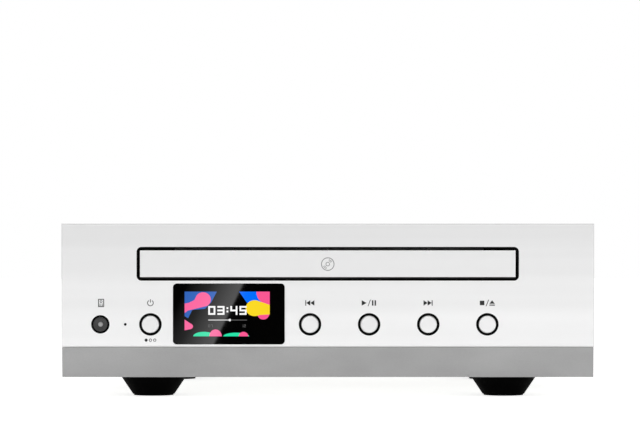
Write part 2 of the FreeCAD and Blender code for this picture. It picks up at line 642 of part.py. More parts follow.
def disc_tray():
    """Tray with a stepped disc well, a slit for the transport, a rack and the lip behind the door."""
    top = "tray_high + 1"
    slab = box("tray_slab", ("-tray_x", "tray_x"), (SKIN, "tray_back"), ("tray_low", "tray_high"))
    lip = box("tray_lip", ("-lip_x", "lip_x"), (SKIN, f"{SKIN} + lip"), ("tray_low", "lip_high"))
    centre = ("0", "disc_y")
    tools = [
        rod("well_cut", "z", centre, "well", ("well_floor", top)),
        rod("small_cut", "z", centre, "small_well", ("small_floor", top)),
        rod("slit_round", "z", centre, "slit_x", ("tray_low - 1", top)),
        box("slit_cut", ("-slit_x", "slit_x"), ("disc_y", "slit_back"), ("tray_low - 1", top)),
        box("gear_relief", ("pitch_x - root", "pinion_x - 5.5"), ("-105", "tray_back + 1"),
            ("tray_low - 1", "rack_high")),
        box("rear_pocket", ("-60", "60"), ("tray_back - 34", "tray_back - 4"), ("well_floor", top)),
    ]
    for side, sign in SIDES:
        tools.append(rod(f"finger_{side}", "z", (f"{sign}54", "disc_y - 44"), "11", ("small_floor", top)))
        tools.append(rod(f"finger_rear_{side}", "z", (f"{sign}54", "disc_y + 44"), "11",
                         ("small_floor", top)))
    blank = cut("tray_blank", slab, *tools)
    part(fuse("tray", blank, lip, feature("rack", rack_shape())), "disc_tray")


def gear_shape(teeth, low, high, start):
    """An involute spur gear of module 1 about the origin, with a tooth at the start angle."""
    pitch = teeth / 2
    angle = math.radians(size("pressure"))
    base, tip, root = pitch * math.cos(angle), pitch + size("tip"), pitch - size("root")

    def roll(radius):
        """The involute's polar angle at a radius."""
        lean = math.acos(min(1.0, base / radius))
        return math.tan(lean) - lean

    half = (math.pi / 2 - size("thin")) / teeth
    steps = [max(base, root) + (tip - max(base, root)) * i / 4 for i in range(5)]
    flank = [(radius, half + roll(pitch) - roll(radius)) for radius in steps]
    if root < base:
        flank.insert(0, (root, flank[0][1]))
    points = []
    for index in range(teeth):
        centre = start + 2 * math.pi * index / teeth
        points += [(r * math.cos(centre - a), r * math.sin(centre - a)) for r, a in flank]
        points += [(r * math.cos(centre + a), r * math.sin(centre + a)) for r, a in reversed(flank)]
    return prism(points, low, high)


def at_centre(name, shape, x):
    """A gear shape moved to its axle."""
    shape.translate(FreeCAD.Vector(size(x), size("gear_y"), 0))
    return feature(name, shape)


def drive_train():
    """Motor, belt, pulley with its pinion, and the gear that drives the tray's rack."""
    seat = "deck_low + deck + 0.5"
    wheel = gear_shape(int(size("gear_teeth")), 49, 56.8, math.pi)
    gear = fuse("gear_blank", at_centre("gear_wheel", wheel, "gear_x"),
                rod("gear_hub", "z", ("gear_x", "gear_y"), "4", (seat, "50")))
    part(cut("gear", gear, rod("gear_bore", "z", ("gear_x", "gear_y"), "bore", (f"{seat} - 1", "58"))),
         "tray_drive_gear")
    count = int(size("pinion_teeth"))
    teeth = at_centre("pinion_wheel", gear_shape(count, 46, 53.5, math.pi + math.pi / count), "pinion_x")
    at = ("pinion_x", "gear_y")
    pulley = fuse(
        "pulley_blank", teeth, rod("pulley_neck", "z", at, "4", (seat, "46.5")),
        rod("pulley_lower", "z", at, "14", ("40", "belt_low - ease")),
        rod("pulley_core", "z", at, "pulley_groove", ("40", "44")),
        rod("pulley_upper", "z", at, "14", ("belt_high + ease", "44")),
    )
    part(cut("pulley", pulley, rod("pulley_bore", "z", at, "bore", (f"{seat} - 1", "55"))), "pulley_gear")
    at = ("motor_x", "gear_y")
    motor = fuse("motor", rod("motor_can", "z", at, "10.5", ("loader_low + 3.5", "deck_low")),
                 rod("motor_boss", "z", at, "3", ("deck_low", "deck_low + 2")),
                 rod("motor_shaft", "z", at, "1", ("deck_low + 2", "44.5")))
    part(motor, "loading_motor")
    small = fuse("small_blank", rod("small_lower", "z", at, "4.4", ("40", "belt_low - ease")),
                 rod("small_core", "z", at, "small_groove", ("40", "44.2")),
                 rod("small_upper", "z", at, "4.4", ("belt_high + ease", "44.2")))
    part(cut("small_pulley", small, rod("small_bore", "z", at, "1.03", ("39", "45"))), "motor_pulley")
    part(feature("belt_loop", belt_shape()), "drive_belt")


def belt_shape():
    """The rubber belt: a loop that wraps both pulley grooves."""
    loops = []
    for grow, reach in ((size("belt") + size("tight"), 0), (size("tight"), 1)):
        ends = [(size("pinion_x"), size("gear_y"), size("pulley_groove") + grow),
                (size("motor_x"), size("gear_y"), size("small_groove") + grow)]
        loops.append(strap(*ends, size("belt_low") - reach, size("belt_high") + reach))
    return loops[0].cut(loops[1])


def cam_slider():
    """Plate with two slanted slots that lifts the transport's front pins as it slides."""
    y = mid("slider_y", "slider / 2")
    plate = box("slider_plate", ("slider_left", "slider_right"), y, ("slider_low", "slider_high"))
    tools = []
    near = -size("slider_y") - size("slider")
    for index, x in enumerate((size("cam_x"), -size("cam_x"))):
        ends = [(x, size("cam_low"), size("cam_slot")),
                (x - size("cam_run"), size("cam_high"), size("cam_slot"))]
        slot = strap(*ends, near, near + 2 * size("slider"))
        tools.append(feature(f"cam_slot_{index}", slot, FreeCAD.Rotation(X_AXIS, 90)))
    part(cut("slider_body", plate, *tools), "cam_slider")


# ---- disc transport --------------------------------------------------------------------------

MOUNTS = [(f"{sign}mount_x", y) for _, sign in SIDES for y in ("mount_front", "mount_back")]
CENTRE = ("0", "disc_y")


def lift_frame():
    """Frame that tilts on two rear pins and rides on two front pins in the cam slider."""
    z = ("lift_low", "lift_high")
    pieces = [box("lift_slab", ("-lift_x", "lift_x"), ("lift_front", "lift_back"), z)]
    tools = [box("lift_opening", ("-37", "37"), ("lift_front + 4.5", "lift_back - 10"),
                 ("lift_low - 1", "lift_high + 1"))]
    for side, sign in SIDES:
        pieces.append(box(f"ear_{side}", sorted_span(sign, "lift_x - 6", "lift_x"),
                          ("hinge_y - 8", "hinge_y + 4"), mid("hinge_z - 0.25", "3.75")))
        pieces.append(rod(f"hinge_pin_{side}", "x", ("hinge_y", "hinge_z"), "axle",
                          sorted_span(sign, "lift_x - 1", "lift_x + 4.8")))
        pieces.append(rod(f"cam_pin_{side}", "y", (f"{sign}cam_x", "cam_high"), "axle",
                          ("lift_front - 6.5", "lift_front + 1")))
    for index, at in enumerate(MOUNTS):
        tools.append(rod(f"lift_tap_{index}", "z", at, "axle", ("lift_low - 1", "lift_high + 1")))
    tilted(cut("lift", fuse("lift_blank", *pieces), *tools), "lift_frame")


def mounts():
    """Rubber isolation mounts between the lift frame and the traverse plate, and their screws."""
    rubbers, screws = [], []
    top = "plate_low + plate + 1.4"
    for index, at in enumerate(MOUNTS):
        profile = [("1.6", "lift_high"), ("4.5", "lift_high"), ("4.5", "plate_low"), ("2.6", "plate_low"),
                   ("2.6", "plate_low + plate"), ("4", "plate_low + plate"), ("4", top), ("1.6", top)]
        rubbers.append(turned(f"rubber_{index}", "z", at, profile))
        screws.append(fuse(f"mount_screw_{index}",
                           rod(f"mount_head_{index}", "z", at, "2.6", (top, f"{top} + 1")),
                           rod(f"mount_shank_{index}", "z", at, "screw", ("lift_low + 1", top))))
    tilted(group("rubbers", *rubbers), "isolation_dampers")
    tilted(group("mount_screws", *screws), "damper_screws")


def traverse():
    """Plate that carries the spindle motor, the guide rods, the pickup's drive and the pickup."""
    z = ("plate_low", "plate_low + plate")
    under = ("rod_z - 1.8", "plate_low")
    pieces = [box("traverse_sheet", ("-lift_x", "lift_x"), ("lift_front + 3.5", "lift_back - 8"), z)]
    tools = [
        box("traverse_opening", ("-30", "30"), ("rod_front + 3", "rod_back - 4"),
            ("plate_low - 1", "plate_low + plate + 1")),
        rod("spindle_hole", "z", CENTRE, "5", ("plate_low - 1", "plate_low + plate + 1")),
    ]
    for index, at in enumerate(MOUNTS):
        tools.append(rod(f"mount_hole_{index}", "z", at, "2.8", ("plate_low - 1", "plate_low + plate + 1")))
    for name, x in (("left", "rod_left"), ("right", "rod_right")):
        pieces.append(box(f"lug_front_{name}", mid(x, "3"), ("rod_front", "rod_front + 3"), under))
        pieces.append(box(f"lug_back_{name}", mid(x, "3"), ("rod_back - 3", "rod_back"), under))
        tools.append(rod(f"rod_hole_{name}", "y", (x, "rod_z"), "axle + 0.02",
                         ("rod_front - 1", "rod_back + 1")))
    pieces.append(box("worm_lug", mid("screw_x", "2.5"), ("rod_front", "rod_front + 3"), under))
    tools.append(rod("worm_hole", "y", ("screw_x", "rod_z"), "worm + 0.05",
                     ("rod_front - 1", "rod_front + 4")))
    tilted(cut("traverse_cut", fuse("traverse_blank", *pieces), *tools), "traverse_plate")


def spindle():
    """Spindle motor and the turntable on its shaft."""
    can = rod("spindle_can", "z", CENTRE, "11", ("plate_low - 11", "plate_low"))
    bore = rod("spindle_bore", "z", CENTRE, "1.05", ("plate_low - 10.5", "plate_low + 1"))
    tilted(cut("spindle", can, bore), "spindle_motor")
    profile = [
        ("0", "plate_low - 10"), ("1", "plate_low - 10"), ("1", "plate_low + plate + 0.4"),
        ("4", "plate_low + plate + 0.4"), ("4", "table_low"), ("table", "table_low"),
        ("table", "table_high"), ("7.4", "table_high"), ("6.8", "cone_high - 0.6"),
        ("5.6", "cone_high"), ("0", "cone_high"),
    ]
    tilted(group("table_group", turned("table_body", "z", CENTRE, profile)), "turntable")


def pickup():
    """Guide rods, the sled with its lens, and the screw and motor that move the sled."""
    rods = [rod(f"guide_{name}", "y", (x, "rod_z"), "axle", ("rod_front", "rod_back"))
            for name, x in (("left_rod", "rod_left"), ("right_rod", "rod_right"))]
    tilted(group("guides", *rods), "guide_rods")
    y = ("sled_front", "sled_back")
    block = fuse("sled_blank",
                 box("sled_body", ("rod_left - 5", "rod_right + 3"), y, ("rod_z - 3.5", "rod_z + 3.5")),
                 box("sled_head", ("-8", "8"), mid("lens_y", "9"), ("rod_z + 3.5", "rod_z + 11")))
    over = ("sled_front - 1", "sled_back + 1")
    tools = [rod("sled_bore_left", "y", ("rod_left", "rod_z"), "bore", over),
             rod("sled_bore_right", "y", ("rod_right", "rod_z"), "bore", over),
             rod("sled_bore_worm", "y", ("screw_x", "rod_z"), "worm + 0.4", over)]
    tilted(cut("sled", block, *tools), "pickup_sled")
    low = "rod_z + 11.4"
    lens = [("0", low), ("3.5", low), ("3.5", f"{low} + 1.3"), ("2.4", f"{low} + 1.55"),
            ("1.2", f"{low} + 1.67"), ("0", f"{low} + 1.7")]
    tilted(group("lens_group", turned("lens", "z", ("0", "lens_y"), lens)), "objective_lens")
    at = ("screw_x", "rod_z")
    motor = cut("sled_motor_cut", rod("sled_can", "y", at, "4.4", ("26", "lift_back - 10.5")),
                rod("sled_motor_bore", "y", at, "worm + 0.05", ("25", "31")))
    tilted(motor, "sled_motor")
    tilted(group("worm_group", rod("worm_rod", "y", at, "worm", ("rod_front + 1", "30.9"))), "lead_screw")


def clamp():
    """Bridge over the tray and the magnetic puck that hangs in it."""
    y = mid("disc_y", "bridge_half")
    outer = "loader_x + loader_wall"
    top = "bridge_low + bridge"
    strip = box("bridge_strip", (f"-({outer})", outer), y, ("bridge_low", top))
    ribs = [box(f"bridge_rib_{i}", (f"-({outer})", outer), mid(f"disc_y {sign} (bridge_half - 0.75)", "0.75"),
                (top, f"{top} + 2.5")) for i, sign in enumerate("-+")]
    hole = rod("bridge_bore", "z", CENTRE, "bridge_hole", ("bridge_low - 1", f"{top} + 4"))
    part(cut("bridge_body", fuse("bridge_blank", strip, *ribs), hole), "clamp_bridge")
    profile = [
        ("0", "cone_high + 1"), ("7.6", "cone_high + 1"), ("7.6", "puck_low"), ("puck", "puck_low"),
        ("puck", "puck_low + 2"), ("puck_neck", "puck_low + 2"), ("puck_neck", f"{top} + tight"),
        ("puck_rim", f"{top} + tight"), ("puck_rim", "puck_high"), ("0", "puck_high"),
    ]
    part(turned("puck_body", "z", CENTRE, profile), "clamp_puck")


# ---- electronics and sockets -----------------------------------------------------------------

JACKS = ("66", "88", "106")
TOP = "pcb_low + board"


def pin_holes(prefix, posts):
    """Holes in a board for the pegs of its posts."""
    return [rod(f"{prefix}_hole_{i}", "z", at, "1.5", ("pcb_low - 1", f"{TOP} + 1"))
            for i, at in enumerate(posts)]


def boards():
    """Main board with its chips, and the power board with its heat sink, transformer and capacitors."""
    chips = {"decoder": ((99, -8), (11, 11), 2), "servo": ((98, 26), (7, 7), 1.6),
             "driver": ((100, -32), (9, 4), 2.4), "memory": ((90, 8), (4, 6), 1.4),
             "converter": ((100, 72), (5, 5), 1.4), "clock": ((110, 48), (5.5, 2.2), 3.5),
             "spindle_plug": ((86, -20), (3, 8), 6), "tray_plug": ((86, 40), (3, 6), 6)}
    pieces = [
        box("main_sheet", ("pcb_x", "pcb_out"), ("-60", "104"), ("pcb_low", TOP)),
        box("main_tail", ("30", "pcb_x"), ("84", "104"), ("pcb_low", TOP)),
        box("cable_plug", ("80", "91"), ("-58", "-53"), (TOP, f"{TOP} + 6")),
    ]
    for name, ((x, y), (half_x, half_y), rise) in chips.items():
        pieces.append(box(name, mid(x, half_x), mid(y, half_y), (TOP, f"{TOP} + {rise}")))
    part(cut("main", fuse("main_blank", *pieces), *pin_holes("main", BOARD_POSTS[:5])), "main_board")

    sheet = box("power_sheet", ("-pcb_out", "-pcb_x"), ("-70", "80"), ("pcb_low", TOP))
    extras = [box("heat_sink", ("-116", "-113"), ("26", "58"), (TOP, f"{TOP} + 22")),
              box("regulator", ("-113", "-109"), ("36", "46"), (TOP, f"{TOP} + 14")),
              rod("fuse_tube", "y", ("-86", f"{TOP} + 2.7"), "2.8", ("-58", "-38")),
              box("power_plug", mid("-100", "9"), ("-60", "-54"), (TOP, f"{TOP} + 8"))]
    part(cut("power", fuse("power_blank", sheet, *extras), *pin_holes("power", BOARD_POSTS[5:])),
         "power_board")

    core = box("core", ("-115", "-84"), ("-20", "20"), (f"{TOP} + 2", f"{TOP} + 28"))
    coil = box("coil", ("-117.5", "-81.5"), ("-11", "11"), (TOP, f"{TOP} + 30"))
    part(fuse("transformer_body", core, coil), "transformer")
    tins = {"reservoir": ("-96", "36", "7.5", 25), "filter": ("-90", "54", "6", 20),
            "small_filter": ("-104", "68", "4", 12), "input": ("-104", "-38", "5", 16)}
    part(group("tins", *[rod(name, "z", (x, y), radius, (TOP, f"{TOP} + {rise}"))
                         for name, (x, y, radius, rise) in tins.items()]), "capacitors")


def ribbon():
    """Flat cable from the front board's socket down to the main board's plug."""
    low = [("board - board_y + 4", "30.5"), ("-82", "30.5"), ("-66", "21"), ("-58", "21")]
    high = [(y, f"{z} + 0.6") for y, z in reversed(low)]
    part(outline("ribbon_strip", "YZ_Plane", low + high, "81", "90"), "ribbon_cable")


def mains_inlet():
    """Mains inlet and the frame of the power switch, moulded as one block with three blades."""
    depth = ("back - 12.5", "back + 3.5")
    block = fuse(
        "mains_block",
        box("mains_flange", ("mains_x - 16", "mains_x + 36"), ("back", "back + 2.5"), mid("socket_z", "13")),
        box("mains_body", ("mains_x - 13.5", "mains_x + 33.5"), ("back - 20", "back"),
            mid("socket_z", "10.5")),
    )
    tools = [
        box("mains_well", mid("mains_x", "12.1"), depth, mid("socket_z", "8.1")),
        box("switch_well", mid("rocker_x", "6"), ("back - 10", "back + 3.5"), mid("socket_z", "9.8")),
        rod("switch_bore", "x", ("rocker_y", "socket_z"), "1.25", mid("rocker_x", "7.3")),
    ]
    blades = [box(f"blade_{i}", mid(f"mains_x + ({x})", "1"), ("back - 13", "back - 1.5"),
                  mid(f"socket_z + ({z})", "2"))
              for i, (x, z) in enumerate(((-7, -1.5), (0, 3.5), (7, -1.5)))]
    part(fuse("mains", cut("mains_cut_block", block, *tools), *blades), "mains_inlet")

    section = [("-3.4", "0"), ("-1.2", "-9"), ("4.4", "-9"), ("2.6", "0"), ("4.4", "9"), ("-1.2", "9")]
    rocker = fuse("rocker_blank", outline("rocker_body", "YZ_Plane", section, "-5.7", "5.7"),
                  rod("rocker_pin", "x", ("0", "0"), "1.2", ("-7.2", "7.2")))
    rocker.Placement = FreeCAD.Placement(FreeCAD.Vector(), FreeCAD.Rotation(X_AXIS, 1))
    bind(rocker, "Placement.Rotation.Angle", "rocker_lean * 1 deg")
    for axis, text in (("x", "rocker_x"), ("y", "rocker_y"), ("z", "socket_z")):
        bind(rocker, f"Placement.Base.{axis}", text)
    part(rocker, "power_rocker")


def audio_sockets():
    """Two analogue sockets and a coaxial one, and the optical socket with its shutter."""
    inner = "back - gauge - tight"
    jacks = []
    for index, x in enumerate(JACKS):
        blank = fuse(f"jack_{index}_blank",
                     box(f"jack_{index}_block", mid(x, "6.5"), ("92", inner), (TOP, "socket_z + 8")),
                     rod(f"jack_{index}_collar", "y", (x, "socket_z"), "jack_collar", (inner, "back")),
                     rod(f"jack_{index}_barrel", "y", (x, "socket_z"), "jack", (inner, "jack_out")))
        hole = rod(f"jack_{index}_hole", "y", (x, "socket_z"), "jack_hole", ("jack_out - 9", "jack_out + 1"))
        jacks.append(cut(f"jack_{index}", blank, hole))
    part(group("jacks", *jacks), "phono_sockets")

    x, nose = mid("optic_x", "optic"), "back + 1.2"
    blank = fuse("optic_blank", box("optic_block", x, ("94", inner), (TOP, "socket_z + optic")),
                 box("optic_nose", x, (inner, nose), mid("socket_z", "optic")))
    tools = [box("optic_well", mid("optic_x", "optic_port"), (f"{nose} - 9", f"{nose} + 1"),
                 mid("socket_z", "optic_port")),
             rod("optic_bore", "x", (f"{nose} - 1", "socket_z + 3.6"), "0.45", mid("optic_x", "5"))]
    part(cut("optic_body", blank, *tools), "optical_socket")
    flap = fuse("flap", box("flap_plate", mid("optic_x", "4"), mid(f"{nose} - 1", "0.4"),
                            ("socket_z - 3.9", "socket_z + 3.9")),
                rod("flap_pin", "x", (f"{nose} - 1", "socket_z + 3.6"), "0.4", mid("optic_x", "4.9")))
    part(flap, "optical_shutter")


# ---- build, check and write ------------------------------------------------------------------

def check():
    """Every object of the document must have computed, and every piece must be a valid shape."""
    DOC.recompute()
    for item in DOC.Objects:
        if {"Invalid", "Error"} & set(item.State):
            raise RuntimeError(f"{item.Name} did not compute: {item.State}")
    for item in PARTS:
        if item.Shape.isNull() or not item.Shape.isValid() or not item.Shape.Solids:
            raise RuntimeError(f"{item.Label} is not a valid solid")


def write():
    """Write every piece, raised so that the floor under the feet is at zero height."""
    os.makedirs("parts", exist_ok=True)
    rise = FreeCAD.Vector(0, 0, -size("ground"))
    for item in PARTS:
        item.Shape.translated(rise).exportStep(f"parts/{item.Label}.step")


fill_sheet()
for make in (fascia_panel, lower_strip, front_bracket, base_plate, top_cover, rear_panel, feet,
             slot_liner, tray_door, display, keys, front_board, remote_eye, loader_frame, disc_tray,
             drive_train, cam_slider, lift_frame, mounts, traverse, spindle, pickup, clamp, boards,
             ribbon, mains_inlet, audio_sockets):
    make()
check()
write()
print(f"{len(PARTS)} pieces written")
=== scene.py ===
"""Looks of the compact disc player: materials, printed symbols, the lit display and small fittings.

Lengths are in metres, most of them written as millimetres times MM. The front faces -Y, and every
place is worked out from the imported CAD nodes.
"""

import json
import math

import bmesh
import bpy
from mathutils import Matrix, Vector


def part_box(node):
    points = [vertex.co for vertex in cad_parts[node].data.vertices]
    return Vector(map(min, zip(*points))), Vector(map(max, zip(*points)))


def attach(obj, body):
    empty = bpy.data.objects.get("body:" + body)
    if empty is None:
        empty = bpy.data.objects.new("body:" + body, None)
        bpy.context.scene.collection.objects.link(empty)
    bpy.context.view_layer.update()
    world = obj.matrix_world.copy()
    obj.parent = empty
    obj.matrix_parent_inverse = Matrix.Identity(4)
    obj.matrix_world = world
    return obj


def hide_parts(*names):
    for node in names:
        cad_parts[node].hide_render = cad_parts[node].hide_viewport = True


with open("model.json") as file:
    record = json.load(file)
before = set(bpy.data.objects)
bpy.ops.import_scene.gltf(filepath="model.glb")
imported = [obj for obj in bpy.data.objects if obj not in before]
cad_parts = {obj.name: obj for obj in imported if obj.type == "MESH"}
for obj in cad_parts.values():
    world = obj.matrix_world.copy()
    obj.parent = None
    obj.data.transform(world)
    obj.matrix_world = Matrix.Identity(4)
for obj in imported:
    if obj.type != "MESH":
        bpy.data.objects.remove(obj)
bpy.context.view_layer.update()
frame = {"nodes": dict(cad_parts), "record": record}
MM = 0.001
SCENE = bpy.context.scene
NOISE_LOW, NOISE_HIGH = 0.3, 0.7  # Blender's noise mostly stays between these
SHARP = math.radians(35)  # edges that turn by more than this count as sharp


# ---- places read from the frame ---------------------------------------------------------------

def middle(node):
    """The centre of a CAD node's box at rest."""
    low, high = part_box(node)
    return (low + high) / 2


FACE_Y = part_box("fascia_panel")[0].y
DOOR_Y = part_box("tray_door")[0].y
GLASS_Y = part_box("display_glass")[0].y
SCREEN = middle("display_panel")
KEYS = ("power_button", "previous_button", "play_pause_button", "next_button", "stop_eject_button")
REAR_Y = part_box("rear_panel")[1].y
SOCKET_Z = middle("mains_inlet").z
BLADES_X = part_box("mains_inlet")[0].x + 16 * MM  # the inlet's middle blade; its switch lies beyond


# ---- material kit ------------------------------------------------------------------------------

def new_material(name, roughness, metallic=0.0, **sockets):
    """A Principled material; extra keywords set sockets by name, with _ for a space."""
    material = bpy.data.materials.new(name)
    material.use_nodes = True
    tree = material.node_tree
    shader = tree.nodes["Principled BSDF"]
    shader.inputs["Roughness"].default_value = roughness
    shader.inputs["Metallic"].default_value = metallic
    for key, number in sockets.items():
        shader.inputs[key.replace("_", " ")].default_value = number
    return material, tree, shader


def grain(tree, scale, stretch=(1, 1, 1), detail=4.0):
    """Noise in the piece's own coordinates; stretch multiplies the frequency along each axis."""
    place = tree.nodes.new("ShaderNodeTexCoord")
    mapping = tree.nodes.new("ShaderNodeMapping")
    mapping.inputs["Scale"].default_value = stretch
    noise = tree.nodes.new("ShaderNodeTexNoise")
    noise.inputs["Scale"].default_value = scale
    noise.inputs["Detail"].default_value = detail
    tree.links.new(place.outputs["Object"], mapping.inputs["Vector"])
    tree.links.new(mapping.outputs["Vector"], noise.inputs["Vector"])
    return noise.outputs["Fac"]


def ramp(tree, fac, stops):
    """A colour ramp through (position, colour) stops."""
    node = tree.nodes.new("ShaderNodeValToRGB")
    points = node.color_ramp.elements
    while len(points) < len(stops):
        points.new(0.5)
    for point, (position, colour) in zip(points, stops):
        point.position = position
        point.color = (*colour, 1.0)
    tree.links.new(fac, node.inputs["Fac"])
    return node.outputs["Color"]


def tones(tree, fac, dark, light):
    """Noise turned into a colour between two others."""
    return ramp(tree, fac, ((NOISE_LOW, dark), (NOISE_HIGH, light)))


def span(tree, fac, low, high):
    """Noise remapped to a range, for roughness."""
    node = tree.nodes.new("ShaderNodeMapRange")
    node.inputs["From Min"].default_value = NOISE_LOW
    node.inputs["From Max"].default_value = NOISE_HIGH
    node.inputs["To Min"].default_value = low
    node.inputs["To Max"].default_value = high
    tree.links.new(fac, node.inputs["Value"])
    return node.outputs["Result"]


def bump(tree, shader, fac, strength, distance):
    """Fine relief from noise."""
    node = tree.nodes.new("ShaderNodeBump")
    node.inputs["Strength"].default_value = strength
    node.inputs["Distance"].default_value = distance
    tree.links.new(fac, node.inputs["Height"])
    tree.links.new(node.outputs["Normal"], shader.inputs["Normal"])


def shaded(name, dark, light, rough, metallic=0.0, scale=900, stretch=(1, 1, 1), relief=0.15,
           depth=2e-5, **sockets):
    """The common finish: a tone that wanders between two colours, uneven gloss and fine relief."""
    patch = 40  # a patch of one tone is this many grains wide
    material, tree, shader = new_material(name, rough[0], metallic, **sockets)
    fine = grain(tree, scale, stretch)
    broad = grain(tree, scale / patch, stretch, detail=2.0)
    tree.links.new(tones(tree, broad, dark, light), shader.inputs["Base Color"])
    tree.links.new(span(tree, fine, *rough), shader.inputs["Roughness"])
    bump(tree, shader, fine, relief, depth)
    return material


def grey(tone):
    """A neutral colour."""
    return (tone, tone, tone)


# ---- materials ---------------------------------------------------------------------------------

def brushed_panel(name):
    """Light aluminium with fine brushing along X."""
    return shaded(name, grey(0.90), grey(0.95), (0.40, 0.50), metallic=1.0, scale=60,
                  stretch=(1, 60, 60), relief=0.10, depth=1e-5)


def panel_with_painted_shade(name, start, end, tone):
    """The same aluminium with painted shade, fading to a plain tone as its upward lean goes from end
    to start.
    """
    material = brushed_panel(name)
    tree = material.node_tree
    colour = tree.nodes["Principled BSDF"].inputs["Base Color"]
    finish = colour.links[0].from_socket
    place = tree.nodes.new("ShaderNodeTexCoord")
    parts = tree.nodes.new("ShaderNodeSeparateXYZ")
    tree.links.new(place.outputs["Normal"], parts.inputs["Vector"])
    facing = tree.nodes.new("ShaderNodeMapRange")
    facing.inputs["From Min"].default_value = start
    facing.inputs["From Max"].default_value = end
    tree.links.new(parts.outputs["Z"], facing.inputs["Value"])
    # painted shade: faces that lean past start take the plain tone in place of the lit aluminium
    blend = tree.nodes.new("ShaderNodeMix")
    blend.data_type = "RGBA"
    blend.inputs["A"].default_value = (*grey(tone), 1.0)
    tree.links.new(facing.outputs["Result"], blend.inputs["Factor"])
    tree.links.new(finish, blend.inputs["B"])
    tree.links.new(blend.outputs["Result"], colour)
    return material


def grained_strip():
    """Darker aluminium with a fine blasted grain."""
    return shaded("strip_aluminium", grey(0.37), grey(0.42), (0.42, 0.55), metallic=1.0, scale=2600,
                  stretch=(0.5, 1, 1), relief=0.35, depth=3e-5)


FINISHES = {
    "cover_aluminium": dict(dark=grey(0.625), light=grey(0.64), rough=(0.42, 0.46), metallic=1.0,
                            scale=1800, relief=0.25),
    "chassis_steel": dict(dark=grey(0.020), light=grey(0.028), rough=(0.45, 0.6), scale=2400,
                          relief=0.5, depth=4e-5, Specular_IOR_Level=0.35),
    "plated_steel": dict(dark=(0.50, 0.50, 0.47), light=(0.62, 0.63, 0.60), rough=(0.25, 0.4),
                         metallic=1.0, scale=300, relief=0.05),
    "foot_plastic": dict(dark=grey(0.0006), light=grey(0.001), rough=(0.5, 0.6), scale=1500,
                         relief=0.3, Specular_IOR_Level=0.02),
    "foot_rubber": dict(dark=grey(0.003), light=grey(0.005), rough=(0.8, 0.95), scale=1500,
                        relief=0.4, Specular_IOR_Level=0.2),
    "screw_steel": dict(dark=grey(0.38), light=grey(0.48), rough=(0.25, 0.35), metallic=1.0,
                        scale=2000),
    "black_trim": dict(dark=grey(0.001), light=grey(0.0018), rough=(0.4, 0.5), scale=1500,
                       relief=0.05, Specular_IOR_Level=0.05),
    "black_plastic": dict(dark=grey(0.010), light=grey(0.015), rough=(0.5, 0.65), scale=2500,
                          relief=0.3, Specular_IOR_Level=0.4),
    "button_metal": dict(dark=grey(0.84), light=grey(0.89), rough=(0.35, 0.45), metallic=1.0,
                         scale=1500, relief=0.05),
    "light_pipe": dict(dark=grey(0.003), light=grey(0.005), rough=(0.15, 0.2), scale=900,
                       relief=0.0, Specular_IOR_Level=0.3),
    "circuit_board": dict(dark=(0.010, 0.075, 0.030), light=(0.016, 0.11, 0.045), rough=(0.3, 0.45),
                          scale=700, relief=0.2, Coat_Weight=0.3, Coat_Roughness=0.2),
    "loader_plastic": dict(dark=grey(0.014), light=grey(0.020), rough=(0.45, 0.6), scale=2600,
                           relief=0.35, Specular_IOR_Level=0.4),
    "gear_plastic": dict(dark=(0.68, 0.65, 0.55), light=(0.78, 0.76, 0.68), rough=(0.35, 0.5),
                         scale=800, Subsurface_Weight=0.05),
    "motor_steel": dict(dark=grey(0.50), light=grey(0.60), rough=(0.22, 0.32), metallic=1.0,
                        scale=500, stretch=(1, 1, 0.1)),
    "pulley_brass": dict(dark=(0.62, 0.44, 0.17), light=(0.72, 0.54, 0.24), rough=(0.2, 0.3),
                         metallic=1.0),
    "belt_rubber": dict(dark=grey(0.008), light=grey(0.012), rough=(0.7, 0.85)),
    "polished_steel": dict(dark=grey(0.70), light=grey(0.76), rough=(0.08, 0.15), metallic=1.0,
                           scale=400),
    "pickup_alloy": dict(dark=grey(0.34), light=grey(0.42), rough=(0.4, 0.55), metallic=1.0,
                         relief=0.3),
    "transformer_iron": dict(dark=(0.05, 0.045, 0.04), light=(0.09, 0.08, 0.07), rough=(0.3, 0.5),
                             metallic=0.6, scale=90, stretch=(1, 60, 1)),
    "capacitor_sleeve": dict(dark=(0.006, 0.010, 0.035), light=(0.010, 0.016, 0.05),
                             rough=(0.2, 0.3)),
    "rocker_plastic": dict(dark=grey(0.005), light=grey(0.008), rough=(0.2, 0.3), relief=0.02),
    "socket_metal": dict(dark=(0.70, 0.58, 0.32), light=(0.80, 0.68, 0.42), rough=(0.15, 0.25),
                         metallic=1.0),
    "ribbon_plastic": dict(dark=grey(0.52), light=grey(0.60), rough=(0.4, 0.5), scale=40,
                           stretch=(25, 1, 1)),
}


def window_glass():
    """Black-backed window glass."""
    return shaded("window_glass", grey(0.0008), grey(0.0012), (0.02, 0.03), scale=200, relief=0.0,
                  Specular_IOR_Level=0.5)


def lens_glass():
    """Blue-coated glass of the pickup's lens."""
    material, tree, shader = new_material("lens_glass", 0.03, Transmission_Weight=0.6, IOR=1.55)
    colour = tones(tree, grain(tree, 300), (0.30, 0.38, 0.62), (0.42, 0.50, 0.75))
    tree.links.new(colour, shader.inputs["Base Color"])
    return material


def lit_screen():
    """The display panel behind the dark glass, which carries the lit picture in its place."""
    return shaded("screen", (0.01, 0.012, 0.02), (0.015, 0.018, 0.03), (0.15, 0.2), scale=400)


def glow(name, colour):
    """A lit shape of the display, with a slight unevenness of its backlight."""
    material, tree, shader = new_material(name, 0.05, Specular_IOR_Level=0.5)
    dimmer = tuple(part * 0.94 for part in colour)
    backlight = ramp(tree, grain(tree, 60), ((0.2, dimmer), (0.8, colour)))
    shader.inputs["Base Color"].default_value = (0.0, 0.0, 0.0, 1.0)
    tree.links.new(backlight, shader.inputs["Emission Color"])
    shader.inputs["Emission Strength"].default_value = 1.0
    return material


